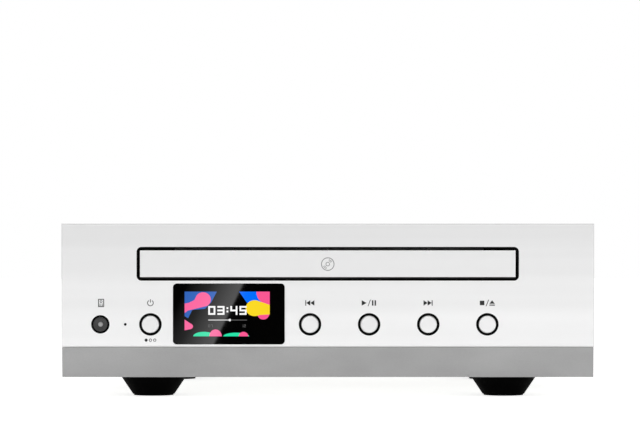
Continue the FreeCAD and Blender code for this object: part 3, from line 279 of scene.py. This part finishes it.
def ink(name, tone):
    """Screen-printed ink."""
    return shaded(name, grey(tone * 0.9), grey(tone), (0.6, 0.7), scale=3000, relief=0.1,
                  Specular_IOR_Level=0.2)


def paint_frame():
    """Every CAD node gets the material of its slot."""
    made = {name: shaded(name, **finish) for name, finish in FINISHES.items()}
    # painted shade: the fascia's faces that lean upward, along its top edge, take a plain mid grey
    made["panel_aluminium"] = panel_with_painted_shade("panel_aluminium", start=0.95, end=0.15, tone=0.5)
    made["strip_aluminium"] = grained_strip()
    made["window_glass"] = window_glass()
    made["lens_glass"] = lens_glass()
    made["screen"] = lit_screen()
    made["sensor_lens"] = shaded("sensor_lens", grey(0.03), grey(0.05), (0.25, 0.35))
    for row in frame["record"]["subparts"]:
        item = frame["nodes"][row["node"]]
        item.data.materials.clear()
        item.data.materials.append(made[row["material_slot"]])
    # painted shade: the door's faces that lean downward, along its lower edge, take a plain dark
    # grey
    door = frame["nodes"]["tray_door"].data.materials
    door.clear()
    door.append(panel_with_painted_shade("door_aluminium", start=-0.6, end=-0.2, tone=0.12))
    return made


# ---- mesh kit ----------------------------------------------------------------------------------

def finish_mesh(name, bm, material, body, smooth=False):
    """Turn a bmesh into a piece that rides on a body."""
    bmesh.ops.recalc_face_normals(bm, faces=bm.faces)
    data = bpy.data.meshes.new(name)
    bm.to_mesh(data)
    bm.free()
    data.materials.append(material)
    for face in data.polygons:
        face.use_smooth = smooth
    piece = bpy.data.objects.new(name, data)
    SCENE.collection.objects.link(piece)
    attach(piece, body)
    return piece


def wall(bm, first, second):
    """A closed band of faces between two loops of as many points."""
    count = len(first)
    for i in range(count):
        j = (i + 1) % count
        bm.faces.new((first[i], first[j], second[j], second[i]))


def printed(name, shapes, y, material, body, depth=0.03 * MM, back=False):
    """Thin raised shapes on an upright face: each a loop of (x, z), or an (outer, inner) pair."""
    bm = bmesh.new()
    side = 1 if back else -1

    def ring(loop):
        return [bm.verts.new((x, y, z)) for x, z in loop]

    for shape in shapes:
        if isinstance(shape[0][0], tuple):
            outer, inner = shape
            wall(bm, ring(outer), ring(inner))
        else:
            bm.faces.new(ring(shape))
    made = bmesh.ops.extrude_face_region(bm, geom=bm.faces[:])
    moved = [v for v in made["geom"] if isinstance(v, bmesh.types.BMVert)]
    bmesh.ops.translate(bm, verts=moved, vec=(0, side * depth, 0))
    return finish_mesh(name, bm, material, body)


def arc(x, z, rx, rz, first=0.0, last=360.0, steps=32):
    """Points along an ellipse's arc, angles in degrees from +X."""
    angles = (math.radians(first + (last - first) * i / steps) for i in range(steps + 1))
    points = [(x + rx * math.cos(a), z + rz * math.sin(a)) for a in angles]
    return points[:-1] if last - first == 360 else points


def bar(x0, x1, z0, z1):
    """An upright rectangle."""
    return [(x0, z0), (x1, z0), (x1, z1), (x0, z1)]


def ring_shape(x, z, radius, width):
    """A round ring, as its outer and inner loops."""
    return (arc(x, z, radius, radius), arc(x, z, radius - width, radius - width))


def arc_band(x, z, radius, width, first, last):
    """A thick open arc."""
    inside = radius - width
    return arc(x, z, radius, radius, first, last) + arc(x, z, inside, inside, last, first)


def lathe(name, profile, x, z, material, body):
    """A turned piece about a line along Y through (x, z); the profile is a list of (radius, y)."""
    bm = bmesh.new()
    points = [bm.verts.new((x + radius, y, z)) for radius, y in profile]
    edges = [bm.edges.new(pair) for pair in zip(points, points[1:])]
    bmesh.ops.spin(bm, geom=points + edges, cent=(x, 0, z), axis=(0, 1, 0), angle=2 * math.pi,
                   steps=64, use_merge=True)
    bmesh.ops.remove_doubles(bm, verts=bm.verts[:], dist=1e-7)
    piece = finish_mesh(name, bm, material, body, smooth=True)
    piece.data.set_sharp_from_angle(angle=SHARP)
    return piece


def solids(node):
    """The boxes (low, high) of a CAD node's separate solids, in order of X."""
    bm = bmesh.new()
    bm.from_mesh(frame["nodes"][node].data)
    bmesh.ops.remove_doubles(bm, verts=bm.verts[:], dist=1e-6)
    left = set(bm.verts)
    boxes = []
    while left:
        heap = [left.pop()]
        island = []
        while heap:
            vert = heap.pop()
            island.append(vert.co.copy())
            for edge in vert.link_edges:
                other = edge.other_vert(vert)
                if other in left:
                    left.remove(other)
                    heap.append(other)
        boxes.append((Vector([min(c[i] for c in island) for i in range(3)]),
                      Vector([max(c[i] for c in island) for i in range(3)])))
    bm.free()
    return sorted(boxes, key=lambda pair: round(pair[0].x, 4))


# ---- printed symbols ---------------------------------------------------------------------------

SYMBOL_RISE = 9.95 * MM  # from the middle of a key to the middle of the symbol above it


def right_arrow(x, z, wide, tall):
    """A triangle that points to +X from its left side at x."""
    return [(x, z - tall / 2), (x + wide, z), (x, z + tall / 2)]


def left_arrow(x, z, wide, tall):
    """A triangle that points to -X, its tip at x."""
    return [(x, z), (x + wide, z - tall / 2), (x + wide, z + tall / 2)]


def slash(x, z, tall):
    """The leaning stroke between the two halves of a double symbol that starts at x."""
    foot, head, line = x + 2.75 * MM, x + 3.9 * MM, 0.35 * MM
    low, high = z - tall * 0.6, z + tall * 0.6
    return [(foot, low), (foot + line, low), (head + line, high), (head, high)]


def transport_symbols():
    """The usual symbols above the four keys right of the window."""
    tall, wide, stem = 2.5 * MM, 1.9 * MM, 0.42 * MM
    previous, play, following, stop = (middle(key) for key in KEYS[1:])
    z = previous.z + SYMBOL_RISE
    low, high = z - tall / 2, z + tall / 2

    x = previous.x - 2.2 * MM
    shapes = [bar(x, x + stem, low, high), left_arrow(x + stem, z, wide, tall),
              left_arrow(x + stem + wide, z, wide, tall)]

    x = play.x - 3.45 * MM
    pause = 0.7 * MM
    shapes += [right_arrow(x, z, wide * 1.2, tall), slash(x, z, tall)]
    for offset in (4.75 * MM, 5.95 * MM):
        shapes.append(bar(x + offset, x + offset + pause, low, high))

    x = following.x - 2.2 * MM
    shapes += [right_arrow(x, z, wide, tall), right_arrow(x + wide, z, wide, tall),
               bar(x + 2 * wide, x + 2 * wide + stem, low, high)]

    x = stop.x - 3.5 * MM
    half = tall * 0.42
    shapes += [bar(x, x + 2 * half, z - half, z + half), slash(x, z, tall)]
    x += 4.4 * MM
    eject = 2.6 * MM
    shapes.append([(x, z - tall * 0.15), (x + eject, z - tall * 0.15), (x + eject / 2, high)])
    shapes.append(bar(x, x + eject, low, z - tall * 0.3))
    return shapes


def power_symbols():
    """An on/off symbol above the power key and a generic mode symbol below it."""
    key = middle("power_button")
    z = key.z + SYMBOL_RISE
    shapes = [arc_band(key.x, z, 1.5 * MM, 0.36 * MM, 125, 415),
              bar(key.x - 0.18 * MM, key.x + 0.18 * MM, z + 0.2 * MM, z + 1.75 * MM)]
    z = key.z - 7.35 * MM
    radius, pitch = 0.72 * MM, 2 * MM
    shapes.append(arc(key.x - pitch, z, radius, radius))
    for x in (key.x, key.x + pitch):
        shapes.append(ring_shape(x, z, radius, 0.3 * MM))
    return shapes


def remote_symbol():
    """A small remote control above the receiver: outline, ring pad and key dots."""
    eye = middle("remote_sensor_lens")
    x, z = eye.x + 0.35 * MM, eye.z + SYMBOL_RISE
    half, tall, line = 1.4 * MM, 1.9 * MM, 0.4 * MM
    outline = (bar(x - half, x + half, z - tall, z + tall),
               bar(x - half + line, x + half - line, z - tall + line, z + tall - line))
    shapes = [outline, ring_shape(x, z + 0.65 * MM, 0.62 * MM, 0.26 * MM)]
    for dx in (-0.5 * MM, 0.5 * MM):
        for dz in (-0.55 * MM, -1.2 * MM):
            shapes.append(arc(x + dx, z + dz, 0.27 * MM, 0.27 * MM, steps=12))
    return shapes


def disc_mark():
    """A plain disc symbol in the middle of the door."""
    door = middle("tray_door")
    z = door.z + 0.3 * MM
    shapes = [ring_shape(door.x, z, 3.1 * MM, 0.35 * MM), ring_shape(door.x, z, 1.0 * MM, 0.3 * MM)]
    for first in (25, 205):
        shapes.append(arc_band(door.x, z, 2.3 * MM, 0.25 * MM, first, first + 50))
        shapes.append(arc_band(door.x, z, 1.75 * MM, 0.25 * MM, first, first + 50))
    return shapes


def symbols():
    """All the ink on the front."""
    dark = ink("symbol_ink", 0.035)
    printed("key_symbols", transport_symbols() + power_symbols() + remote_symbol(), FACE_Y, dark,
            "chassis")
    printed("door_symbol", disc_mark(), DOOR_Y, ink("door_ink", 0.30), "tray")


# ---- display -----------------------------------------------------------------------------------

SEGMENTS = {"0": "abcdef", "1": "bc", "2": "abged", "3": "abgcd", "4": "fgbc", "5": "afgcd",
            "6": "afgedc", "7": "abc", "8": "abcdefg", "9": "abcdfg"}


def digit(mark, x, z, wide, tall, line):
    """One block digit, its lower left corner at (x, z)."""
    mid = z + tall / 2
    strokes = {
        "a": bar(x, x + wide, z + tall - line, z + tall),
        "b": bar(x + wide - line, x + wide, mid, z + tall),
        "c": bar(x + wide - line, x + wide, z, mid),
        "d": bar(x, x + wide, z, z + line),
        "e": bar(x, x + line, z, mid),
        "f": bar(x, x + line, mid, z + tall),
        "g": bar(x, x + wide, mid - line / 2, mid + line / 2),
    }
    return [strokes[name] for name in SEGMENTS[mark]]


def counter(text, x, z, wide, tall, line):
    """A row of digits, with a colon as two square dots."""
    shapes = []
    for mark in text:
        if mark == ":":
            for dz in (0.28, 0.66):
                shapes.append(bar(x, x + line, z + tall * dz, z + tall * dz + line))
            x += line * 2.2
        else:
            shapes += digit(mark, x, z, wide, tall, line)
            x += wide + line * 1.2
    return shapes


LAYER = 0.012 * MM  # thickness of one lit layer on the window


def lit(name, shapes, colour, level):
    """A thin lit piece on the window; a higher level lies in front of a lower one."""
    y = GLASS_Y - level * LAYER
    printed(name, shapes, y, glow(name, colour), "chassis", depth=LAYER)


def picture():
    """Coloured blobs of a generic design, which fill the corners and edges of the lit area."""
    half_x, half_z = 19.8 * MM, 10.4 * MM
    left, right = SCREEN.x - half_x, SCREEN.x + half_x
    foot, top = SCREEN.z - half_z, SCREEN.z + half_z

    def outline(*points):
        """Points in millimetres right of and below the upper left corner."""
        return [(left + across * MM, top - down * MM) for across, down in points]

    def hill(across, wide, tall):
        """Half an ellipse that stands on the lower edge."""
        return arc(left + across * MM, foot, wide * MM, tall * MM, 0, 180)

    lit("picture_blue_left", [outline((0, 0), (15, 0), (12.4, 5), (9.5, 8), (3.6, 8.5), (1.6, 12.4),
                                      (0, 11.4))], (0.03, 0.13, 0.50), 0)
    wedge = outline((25.4, 0)) + [(right, top), (right, top - 4.6 * MM)] + outline((29, 5.2))
    lit("picture_blue_right", [wedge], (0.0, 0.16, 1.0), 0)
    lit("picture_green", [hill(9, 5, 2.1), hill(24, 6, 1.7)], (0.02, 0.78, 0.40), 1)
    lit("picture_pink", [
        arc(left + 8.6 * MM, top - 3.7 * MM, 3.6 * MM, 3.4 * MM, -60, 150)
        + outline((4.6, 3.9), (2, 5.2), (0, 5.6), (0, 10), (1.6, 8.8), (5, 8)),
        outline((0, 13), (1.8, 14.2))
        + arc(left + 2.4 * MM, top - 16.2 * MM, 1.5 * MM, 1.3 * MM, 60, -80) + outline((0, 18)),
        hill(14.4, 2.9, 3.2),
    ], (1.0, 0.14, 0.36), 2)
    lit("picture_rose", [
        arc(right, top, 6.2 * MM, 6.2 * MM, 180, 270) + [(right, top)],
        arc(right - 3 * MM, top - 10 * MM, 2.9 * MM, 3 * MM),
        hill(27.4, 2.2, 2.1),
    ], (1.0, 0.10, 0.30), 2)
    yellow = arc(right - 7 * MM, top - 7.7 * MM, 4.2 * MM, 3.7 * MM, 60, 300)
    yellow += [(right, top - 10.6 * MM), (right, top - 6.2 * MM)]
    lit("picture_yellow", [yellow], (1.0, 0.72, 0.02), 3)


def readout():
    """A time counter, a progress line under it and two track numbers."""
    left = SCREEN.x - 8.8 * MM
    wide, tall, line = 3.3 * MM, 4.1 * MM, 0.8 * MM
    lit("counter", counter("03:45", left, SCREEN.z - 0.4 * MM, wide, tall, line), grey(1.0), 4)
    now, low, thick = SCREEN.x + 1.2 * MM, SCREEN.z - 3.0 * MM, 0.35 * MM
    knob = arc(now, low + 0.175 * MM, 0.6 * MM, 0.6 * MM)
    lit("progress", [bar(left, now, low, low + thick), knob], grey(0.85), 3)
    rest = bar(SCREEN.x + 1.8 * MM, SCREEN.x + 9.2 * MM, low, low + thick)
    lit("progress_rest", [rest], grey(0.12), 3)
    wide, tall, line = 0.9 * MM, 1.3 * MM, 0.22 * MM
    low = SCREEN.z - 6.2 * MM
    numbers = counter("07", left, low, wide, tall, line)
    numbers += counter("12", SCREEN.x + 6.6 * MM, low, wide, tall, line)
    lit("track_numbers", numbers, grey(0.10), 3)


# ---- small fittings ----------------------------------------------------------------------------

def receiver():
    """The remote-control receiver: a dark bowl with a paler dome in its middle."""
    low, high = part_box("remote_sensor_lens")
    x, z, front, back = (low.x + high.x) / 2, (low.z + high.z) / 2, low.y, high.y
    bowl = [(0, back), (3.22, back), (3.22, front), (2.85, front), (2.6, front + 0.5 * MM),
            (1.15, front + 1.1 * MM), (0, front + 1.1 * MM)]
    bowl = [(radius * MM, y) for radius, y in bowl]
    dark = shaded("receiver_bowl", grey(0.045), grey(0.075), (0.3, 0.4), Specular_IOR_Level=0.35)
    piece = lathe("receiver_bowl", bowl, x, z, dark, "chassis")
    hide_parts("remote_sensor_lens")
    dome = arc(0, front + 1.1 * MM, 1.15 * MM, 0.8 * MM, 0, -90, steps=10)
    pale = shaded("receiver_dome", grey(0.36), grey(0.48), (0.12, 0.2), relief=0.03)
    lathe("receiver_dome", dome, x, z, pale, "chassis")


def phono_rings():
    """Coloured insulators around and inside the three phono barrels."""
    colours = (((0.75, 0.22, 0.02), (0.85, 0.28, 0.03)), (grey(0.75), grey(0.82)),
               ((0.55, 0.01, 0.01), (0.65, 0.02, 0.015)))
    for index, ((low, high), (dark, light)) in enumerate(zip(solids("phono_sockets"), colours)):
        x, z, out = (low.x + high.x) / 2, SOCKET_Z, high.y
        colour = shaded(f"phono_colour_{index}", dark, light, (0.3, 0.4), scale=1200, relief=0.05)
        collar = [(4.2, REAR_Y - 0.3 * MM), (4.2, REAR_Y + 0.3 * MM), (4.9, REAR_Y + 0.3 * MM),
                  (5.15, REAR_Y + 0.1 * MM), (5.15, REAR_Y - 0.3 * MM)]
        insert = [(1.62, out - 0.6 * MM), (1.62, out + 0.03 * MM), (3.2, out + 0.03 * MM),
                  (3.35, out - 0.05 * MM)]
        for part, profile in (("collar", collar), ("insert", insert)):
            lathe(f"phono_{part}_{index}", [(radius * MM, y) for radius, y in profile], x, z, colour,
                  "chassis")


def inlet_blades(steel):
    """Bright plating with chamfered tips over the three blades of the mains inlet."""
    low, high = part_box("mains_inlet")
    x, z, back = BLADES_X, (low.z + high.z) / 2, REAR_Y
    bm = bmesh.new()
    for dx, dz in ((-7, -1.5), (0, 3.5), (7, -1.5)):
        loops = []
        for y, half_x, half_z in ((back - 12.9 * MM, 1.04, 2.04), (back - 2.2 * MM, 1.04, 2.04),
                                  (back - 1.4 * MM, 0.6, 1.6)):
            loops.append([bm.verts.new((x + (dx + sx * half_x) * MM, y, z + (dz + sz * half_z) * MM))
                          for sx, sz in ((-1, -1), (1, -1), (1, 1), (-1, 1))])
        for first, second in zip(loops, loops[1:]):
            wall(bm, first, second)
        bm.faces.new(loops[0])
        bm.faces.new(loops[-1])
    finish_mesh("inlet_blades", bm, steel, "chassis")


def screw_recess_shade():
    """Painted shade for the recess of every cover screw: a thin black cross, a little proud of the
    head.
    """
    # painted shade: near-black where the shade inside a cross recess would fall
    black = shaded("painted_recess_shade", grey(0.006), grey(0.010), (0.5, 0.6), scale=1500)
    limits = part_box("top_cover")
    arm, line = 1.1 * MM, 0.28 * MM
    sunk, proud = 0.1, 0.012  # millimetres below and above the face of the head
    cross = [(-line, -arm), (line, -arm), (line, -line), (arm, -line), (arm, line), (line, line),
             (line, arm), (-line, arm), (-line, line), (-arm, line), (-arm, -line), (-line, -line)]
    bm = bmesh.new()
    for low, high in solids("cover_screws"):
        centre = (low + high) / 2
        if high.z > limits[1].z - 0.2 * MM:
            place = [Vector((centre.x + a, centre.y + b, high.z)) for a, b in cross]
            out = Vector((0, 0, 1))
        else:
            side = math.copysign(1, centre.x)
            reach = high.x if side > 0 else low.x
            place = [Vector((reach, centre.y + a, centre.z + b)) for a, b in cross]
            out = Vector((side, 0, 0))
        base = [bm.verts.new(point - out * sunk * MM) for point in place]
        top = [bm.verts.new(point + out * proud * MM) for point in place]
        wall(bm, base, top)
        bm.faces.new(base)
        bm.faces.new(top)
    finish_mesh("screw_recess_shade", bm, black, "chassis")


def rear_symbols():
    """Generic marks on the rear panel: mains wave, output arrows and a pair bracket."""
    pale = ink("rear_ink", 0.6)
    shapes = []
    x, z = BLADES_X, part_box("mains_inlet")[1].z + 4.5 * MM
    wave = [(x + (i - 12) * 0.25 * MM, z + math.sin(i * math.pi / 12) * 1.1 * MM) for i in range(25)]
    shapes.append(wave + [(px, pz - 0.5 * MM) for px, pz in reversed(wave)])
    optic = middle("optical_socket")
    places = [(low.x + high.x) / 2 for low, high in solids("phono_sockets")] + [optic.x]
    z = SOCKET_Z + 9.5 * MM
    for px in places:
        shapes.append(ring_shape(px, z, 1.7 * MM, 0.3 * MM))
        shapes.append(bar(px - 0.2 * MM, px + 0.2 * MM, z - 0.6 * MM, z + 2.4 * MM))
        shapes.append([(px - 0.8 * MM, z + 2.4 * MM), (px + 0.8 * MM, z + 2.4 * MM),
                       (px, z + 3.7 * MM)])
    z += 5.6 * MM
    left, right = places[1], places[2]
    shapes.append(bar(left, right, z, z + 0.35 * MM))
    for px in (left, right - 0.35 * MM):
        shapes.append(bar(px, px + 0.35 * MM, z - 0.9 * MM, z))
    printed("rear_symbols", shapes, REAR_Y, pale, "chassis", back=True)


def gap_shade_lip():
    """Painted shade under the tray door: a black lip behind its lower edge closing the gap to the
    slot's liner.
    """
    low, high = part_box("tray_door")
    y0, y1 = high.y - 0.9 * MM, high.y - 0.1 * MM
    z0, z1 = low.z - 0.33 * MM, low.z + 0.25 * MM
    reach = (high.x - low.x) / 2 - 1 * MM
    section = [(y0, z1), (y0, z0 + 0.1 * MM), (y0 + 0.1 * MM, z0), (y1 - 0.1 * MM, z0),
               (y1, z0 + 0.1 * MM), (y1, z1)]
    bm = bmesh.new()
    left, right = ([bm.verts.new((x, y, z)) for y, z in section] for x in (-reach, reach))
    wall(bm, left, right)
    bm.faces.new(left)
    bm.faces.new(right)
    # painted shade: near-black and barely glossy, dark as the shade in the gap would be
    shade_felt = shaded("shade_felt", grey(0.002), grey(0.004), (0.9, 1.0), scale=2500, relief=0.5,
                  Specular_IOR_Level=0.02)
    finish_mesh("tray_dust_seal", bm, shade_felt, "tray")


# ---- edges -------------------------------------------------------------------------------------

EDGES = {"fascia_panel": 0.12, "lower_fascia_strip": 0.1, "tray_door": 0.1, "top_cover": 0.25,
         "display_glass": 0.12, "disc_tray": 0.3, "rear_panel": 0.15,
         "mains_inlet": 0.4, "power_rocker": 0.5, "optical_socket": 0.2, "optical_shutter": 0.15}


def soften_edges():
    """Small rounded edges on the visible CAD nodes, so that they catch the light."""
    for name, width in EDGES.items():
        item = frame["nodes"][name]
        flat = item.modifiers.new("merge_flats", "DECIMATE")
        flat.decimate_type = "DISSOLVE"
        flat.angle_limit = math.radians(0.5)
        edge = item.modifiers.new("soft_edges", "BEVEL")
        edge.width = width * MM
        edge.segments = 2
        edge.limit_method = "ANGLE"
        edge.angle_limit = SHARP
        edge.harden_normals = True


# ---- studio ------------------------------------------------------------------------------------

def camera():
    """A straight-on view from in front of the fascia, a little right of the middle."""
    right, away, height = 0.015, 1.224, 0.0667
    data = bpy.data.cameras.new("camera")
    data.lens = 148
    data.sensor_width = 36
    data.shift_x = -0.0625
    data.shift_y = 0.064
    item = bpy.data.objects.new("camera", data)
    item.location = (right, FACE_Y - away, height)
    item.rotation_euler = (math.pi / 2, 0, 0)
    SCENE.collection.objects.link(item)
    SCENE.camera = item


def stage_plane(name, corners, material):
    """A flat sheet of the studio, given by its four corners."""
    data = bpy.data.meshes.new(name)
    data.from_pydata([Vector(c) for c in corners], [], [(0, 1, 2, 3)])
    data.materials.append(material)
    item = bpy.data.objects.new(name, data)
    SCENE.collection.objects.link(item)
    return item


def floor():
    """A pale floor that gives off some light, more of it towards the camera; clear from below."""
    material, tree, shader = new_material("floor", 0.9, Specular_IOR_Level=0.1)
    colour = tones(tree, grain(tree, 3), grey(0.90), grey(0.94))
    tree.links.new(colour, shader.inputs["Base Color"])
    shader.inputs["Emission Color"].default_value = (1, 1, 1, 1)
    path = tree.nodes.new("ShaderNodeLightPath")
    seen = tree.nodes.new("ShaderNodeMapRange")
    seen.inputs["To Min"].default_value = 0.3
    seen.inputs["To Max"].default_value = 0.78
    tree.links.new(path.outputs["Is Camera Ray"], seen.inputs["Value"])
    tree.links.new(seen.outputs["Result"], shader.inputs["Emission Strength"])
    side = tree.nodes.new("ShaderNodeNewGeometry")
    clear = tree.nodes.new("ShaderNodeBsdfTransparent")
    either = tree.nodes.new("ShaderNodeMixShader")
    tree.links.new(side.outputs["Backfacing"], either.inputs["Fac"])
    tree.links.new(shader.outputs["BSDF"], either.inputs[1])
    tree.links.new(clear.outputs["BSDF"], either.inputs[2])
    tree.links.new(either.outputs["Shader"], tree.nodes["Material Output"].inputs["Surface"])
    reach, z = 6, -0.02 * MM
    corners = [(-reach, -reach, z), (reach, -reach, z), (reach, reach, z), (-reach, reach, z)]
    stage_plane("floor", corners, material)


def glass_card():
    """A softbox with a slanted edge in front of the window, seen only as its reflection."""
    left, right, low, high = -0.135, -0.02, 0.002, 0.056
    lean, fade_start, fade_end = 0.4786, -0.139, -0.079
    material = bpy.data.materials.new("card")
    material.use_nodes = True
    tree = material.node_tree
    tree.nodes.clear()
    output = tree.nodes.new("ShaderNodeOutputMaterial")
    emission = tree.nodes.new("ShaderNodeEmission")
    place = tree.nodes.new("ShaderNodeTexCoord")
    slant = tree.nodes.new("ShaderNodeVectorMath")
    slant.operation = "DOT_PRODUCT"
    slant.inputs[1].default_value = (1.0, 0.0, -lean)
    shift = tree.nodes.new("ShaderNodeMapRange")
    shift.inputs["From Min"].default_value = fade_start
    shift.inputs["From Max"].default_value = fade_end
    tree.links.new(place.outputs["Object"], slant.inputs[0])
    tree.links.new(slant.outputs["Value"], shift.inputs["Value"])
    bright = ramp(tree, shift.outputs["Result"],
                  ((0.3, grey(0.0)), (0.55, grey(0.5)), (0.90, grey(2.4)), (0.912, grey(0.0))))
    tree.links.new(bright, emission.inputs["Color"])
    tree.links.new(emission.outputs["Emission"], output.inputs["Surface"])
    y = FACE_Y - 0.5
    corners = [(left, y, low), (right, y, low), (right, y, high), (left, y, high)]
    card = stage_plane("card", corners, material)
    card.visible_camera = False
    card.visible_diffuse = False
    card.visible_shadow = False
    card.visible_transmission = False


def lamp(name, place, target, size, power):
    """A rectangular softbox that faces a point; its size is in metres, its power in watts."""
    data = bpy.data.lights.new(name, "AREA")
    data.shape = "RECTANGLE"
    data.size, data.size_y = size
    data.energy = power
    item = bpy.data.objects.new(name, data)
    item.location = place
    item.rotation_euler = (Vector(target) - Vector(place)).to_track_quat("-Z", "Y").to_euler()
    item.visible_camera = False
    SCENE.collection.objects.link(item)


def studio():
    """White surroundings for the camera, softer light for the object, and four softboxes."""
    SCENE.view_settings.view_transform = "Standard"
    world = bpy.data.worlds.new("world")
    SCENE.world = world
    world.use_nodes = True
    tree = world.node_tree
    tree.nodes.clear()
    output = tree.nodes.new("ShaderNodeOutputWorld")
    mix = tree.nodes.new("ShaderNodeMixShader")
    seen = tree.nodes.new("ShaderNodeBackground")
    light = tree.nodes.new("ShaderNodeBackground")
    path = tree.nodes.new("ShaderNodeLightPath")
    seen.inputs["Color"].default_value = (1, 1, 1, 1)
    light.inputs["Color"].default_value = (1, 1, 1, 1)
    light.inputs["Strength"].default_value = 0.58
    tree.links.new(path.outputs["Is Camera Ray"], mix.inputs["Fac"])
    tree.links.new(light.outputs["Background"], mix.inputs[1])
    tree.links.new(seen.outputs["Background"], mix.inputs[2])
    tree.links.new(mix.outputs["Shader"], output.inputs["Surface"])
    centre = (0, 0, 0.04)
    lamp("top_box", (0, 0.1, 1.1), centre, (1.4, 0.8), 3.2)
    lamp("left_box", (-1.1, -0.9, 0.6), centre, (0.7, 0.7), 1.0)
    lamp("right_box", (1.2, -0.7, 0.5), centre, (0.6, 0.8), 0.8)
    lamp("low_box", (0, FACE_Y - 0.2, 0.008), (0, FACE_Y, 0.012), (0.5, 0.012), 0.045)


# ---- build -------------------------------------------------------------------------------------

camera()
floor()
studio()
glass_card()
finishes = paint_frame()
soften_edges()
symbols()
picture()
readout()
receiver()
phono_rings()
inlet_blades(finishes["polished_steel"])
screw_recess_shade()
rear_symbols()
gap_shade_lip()
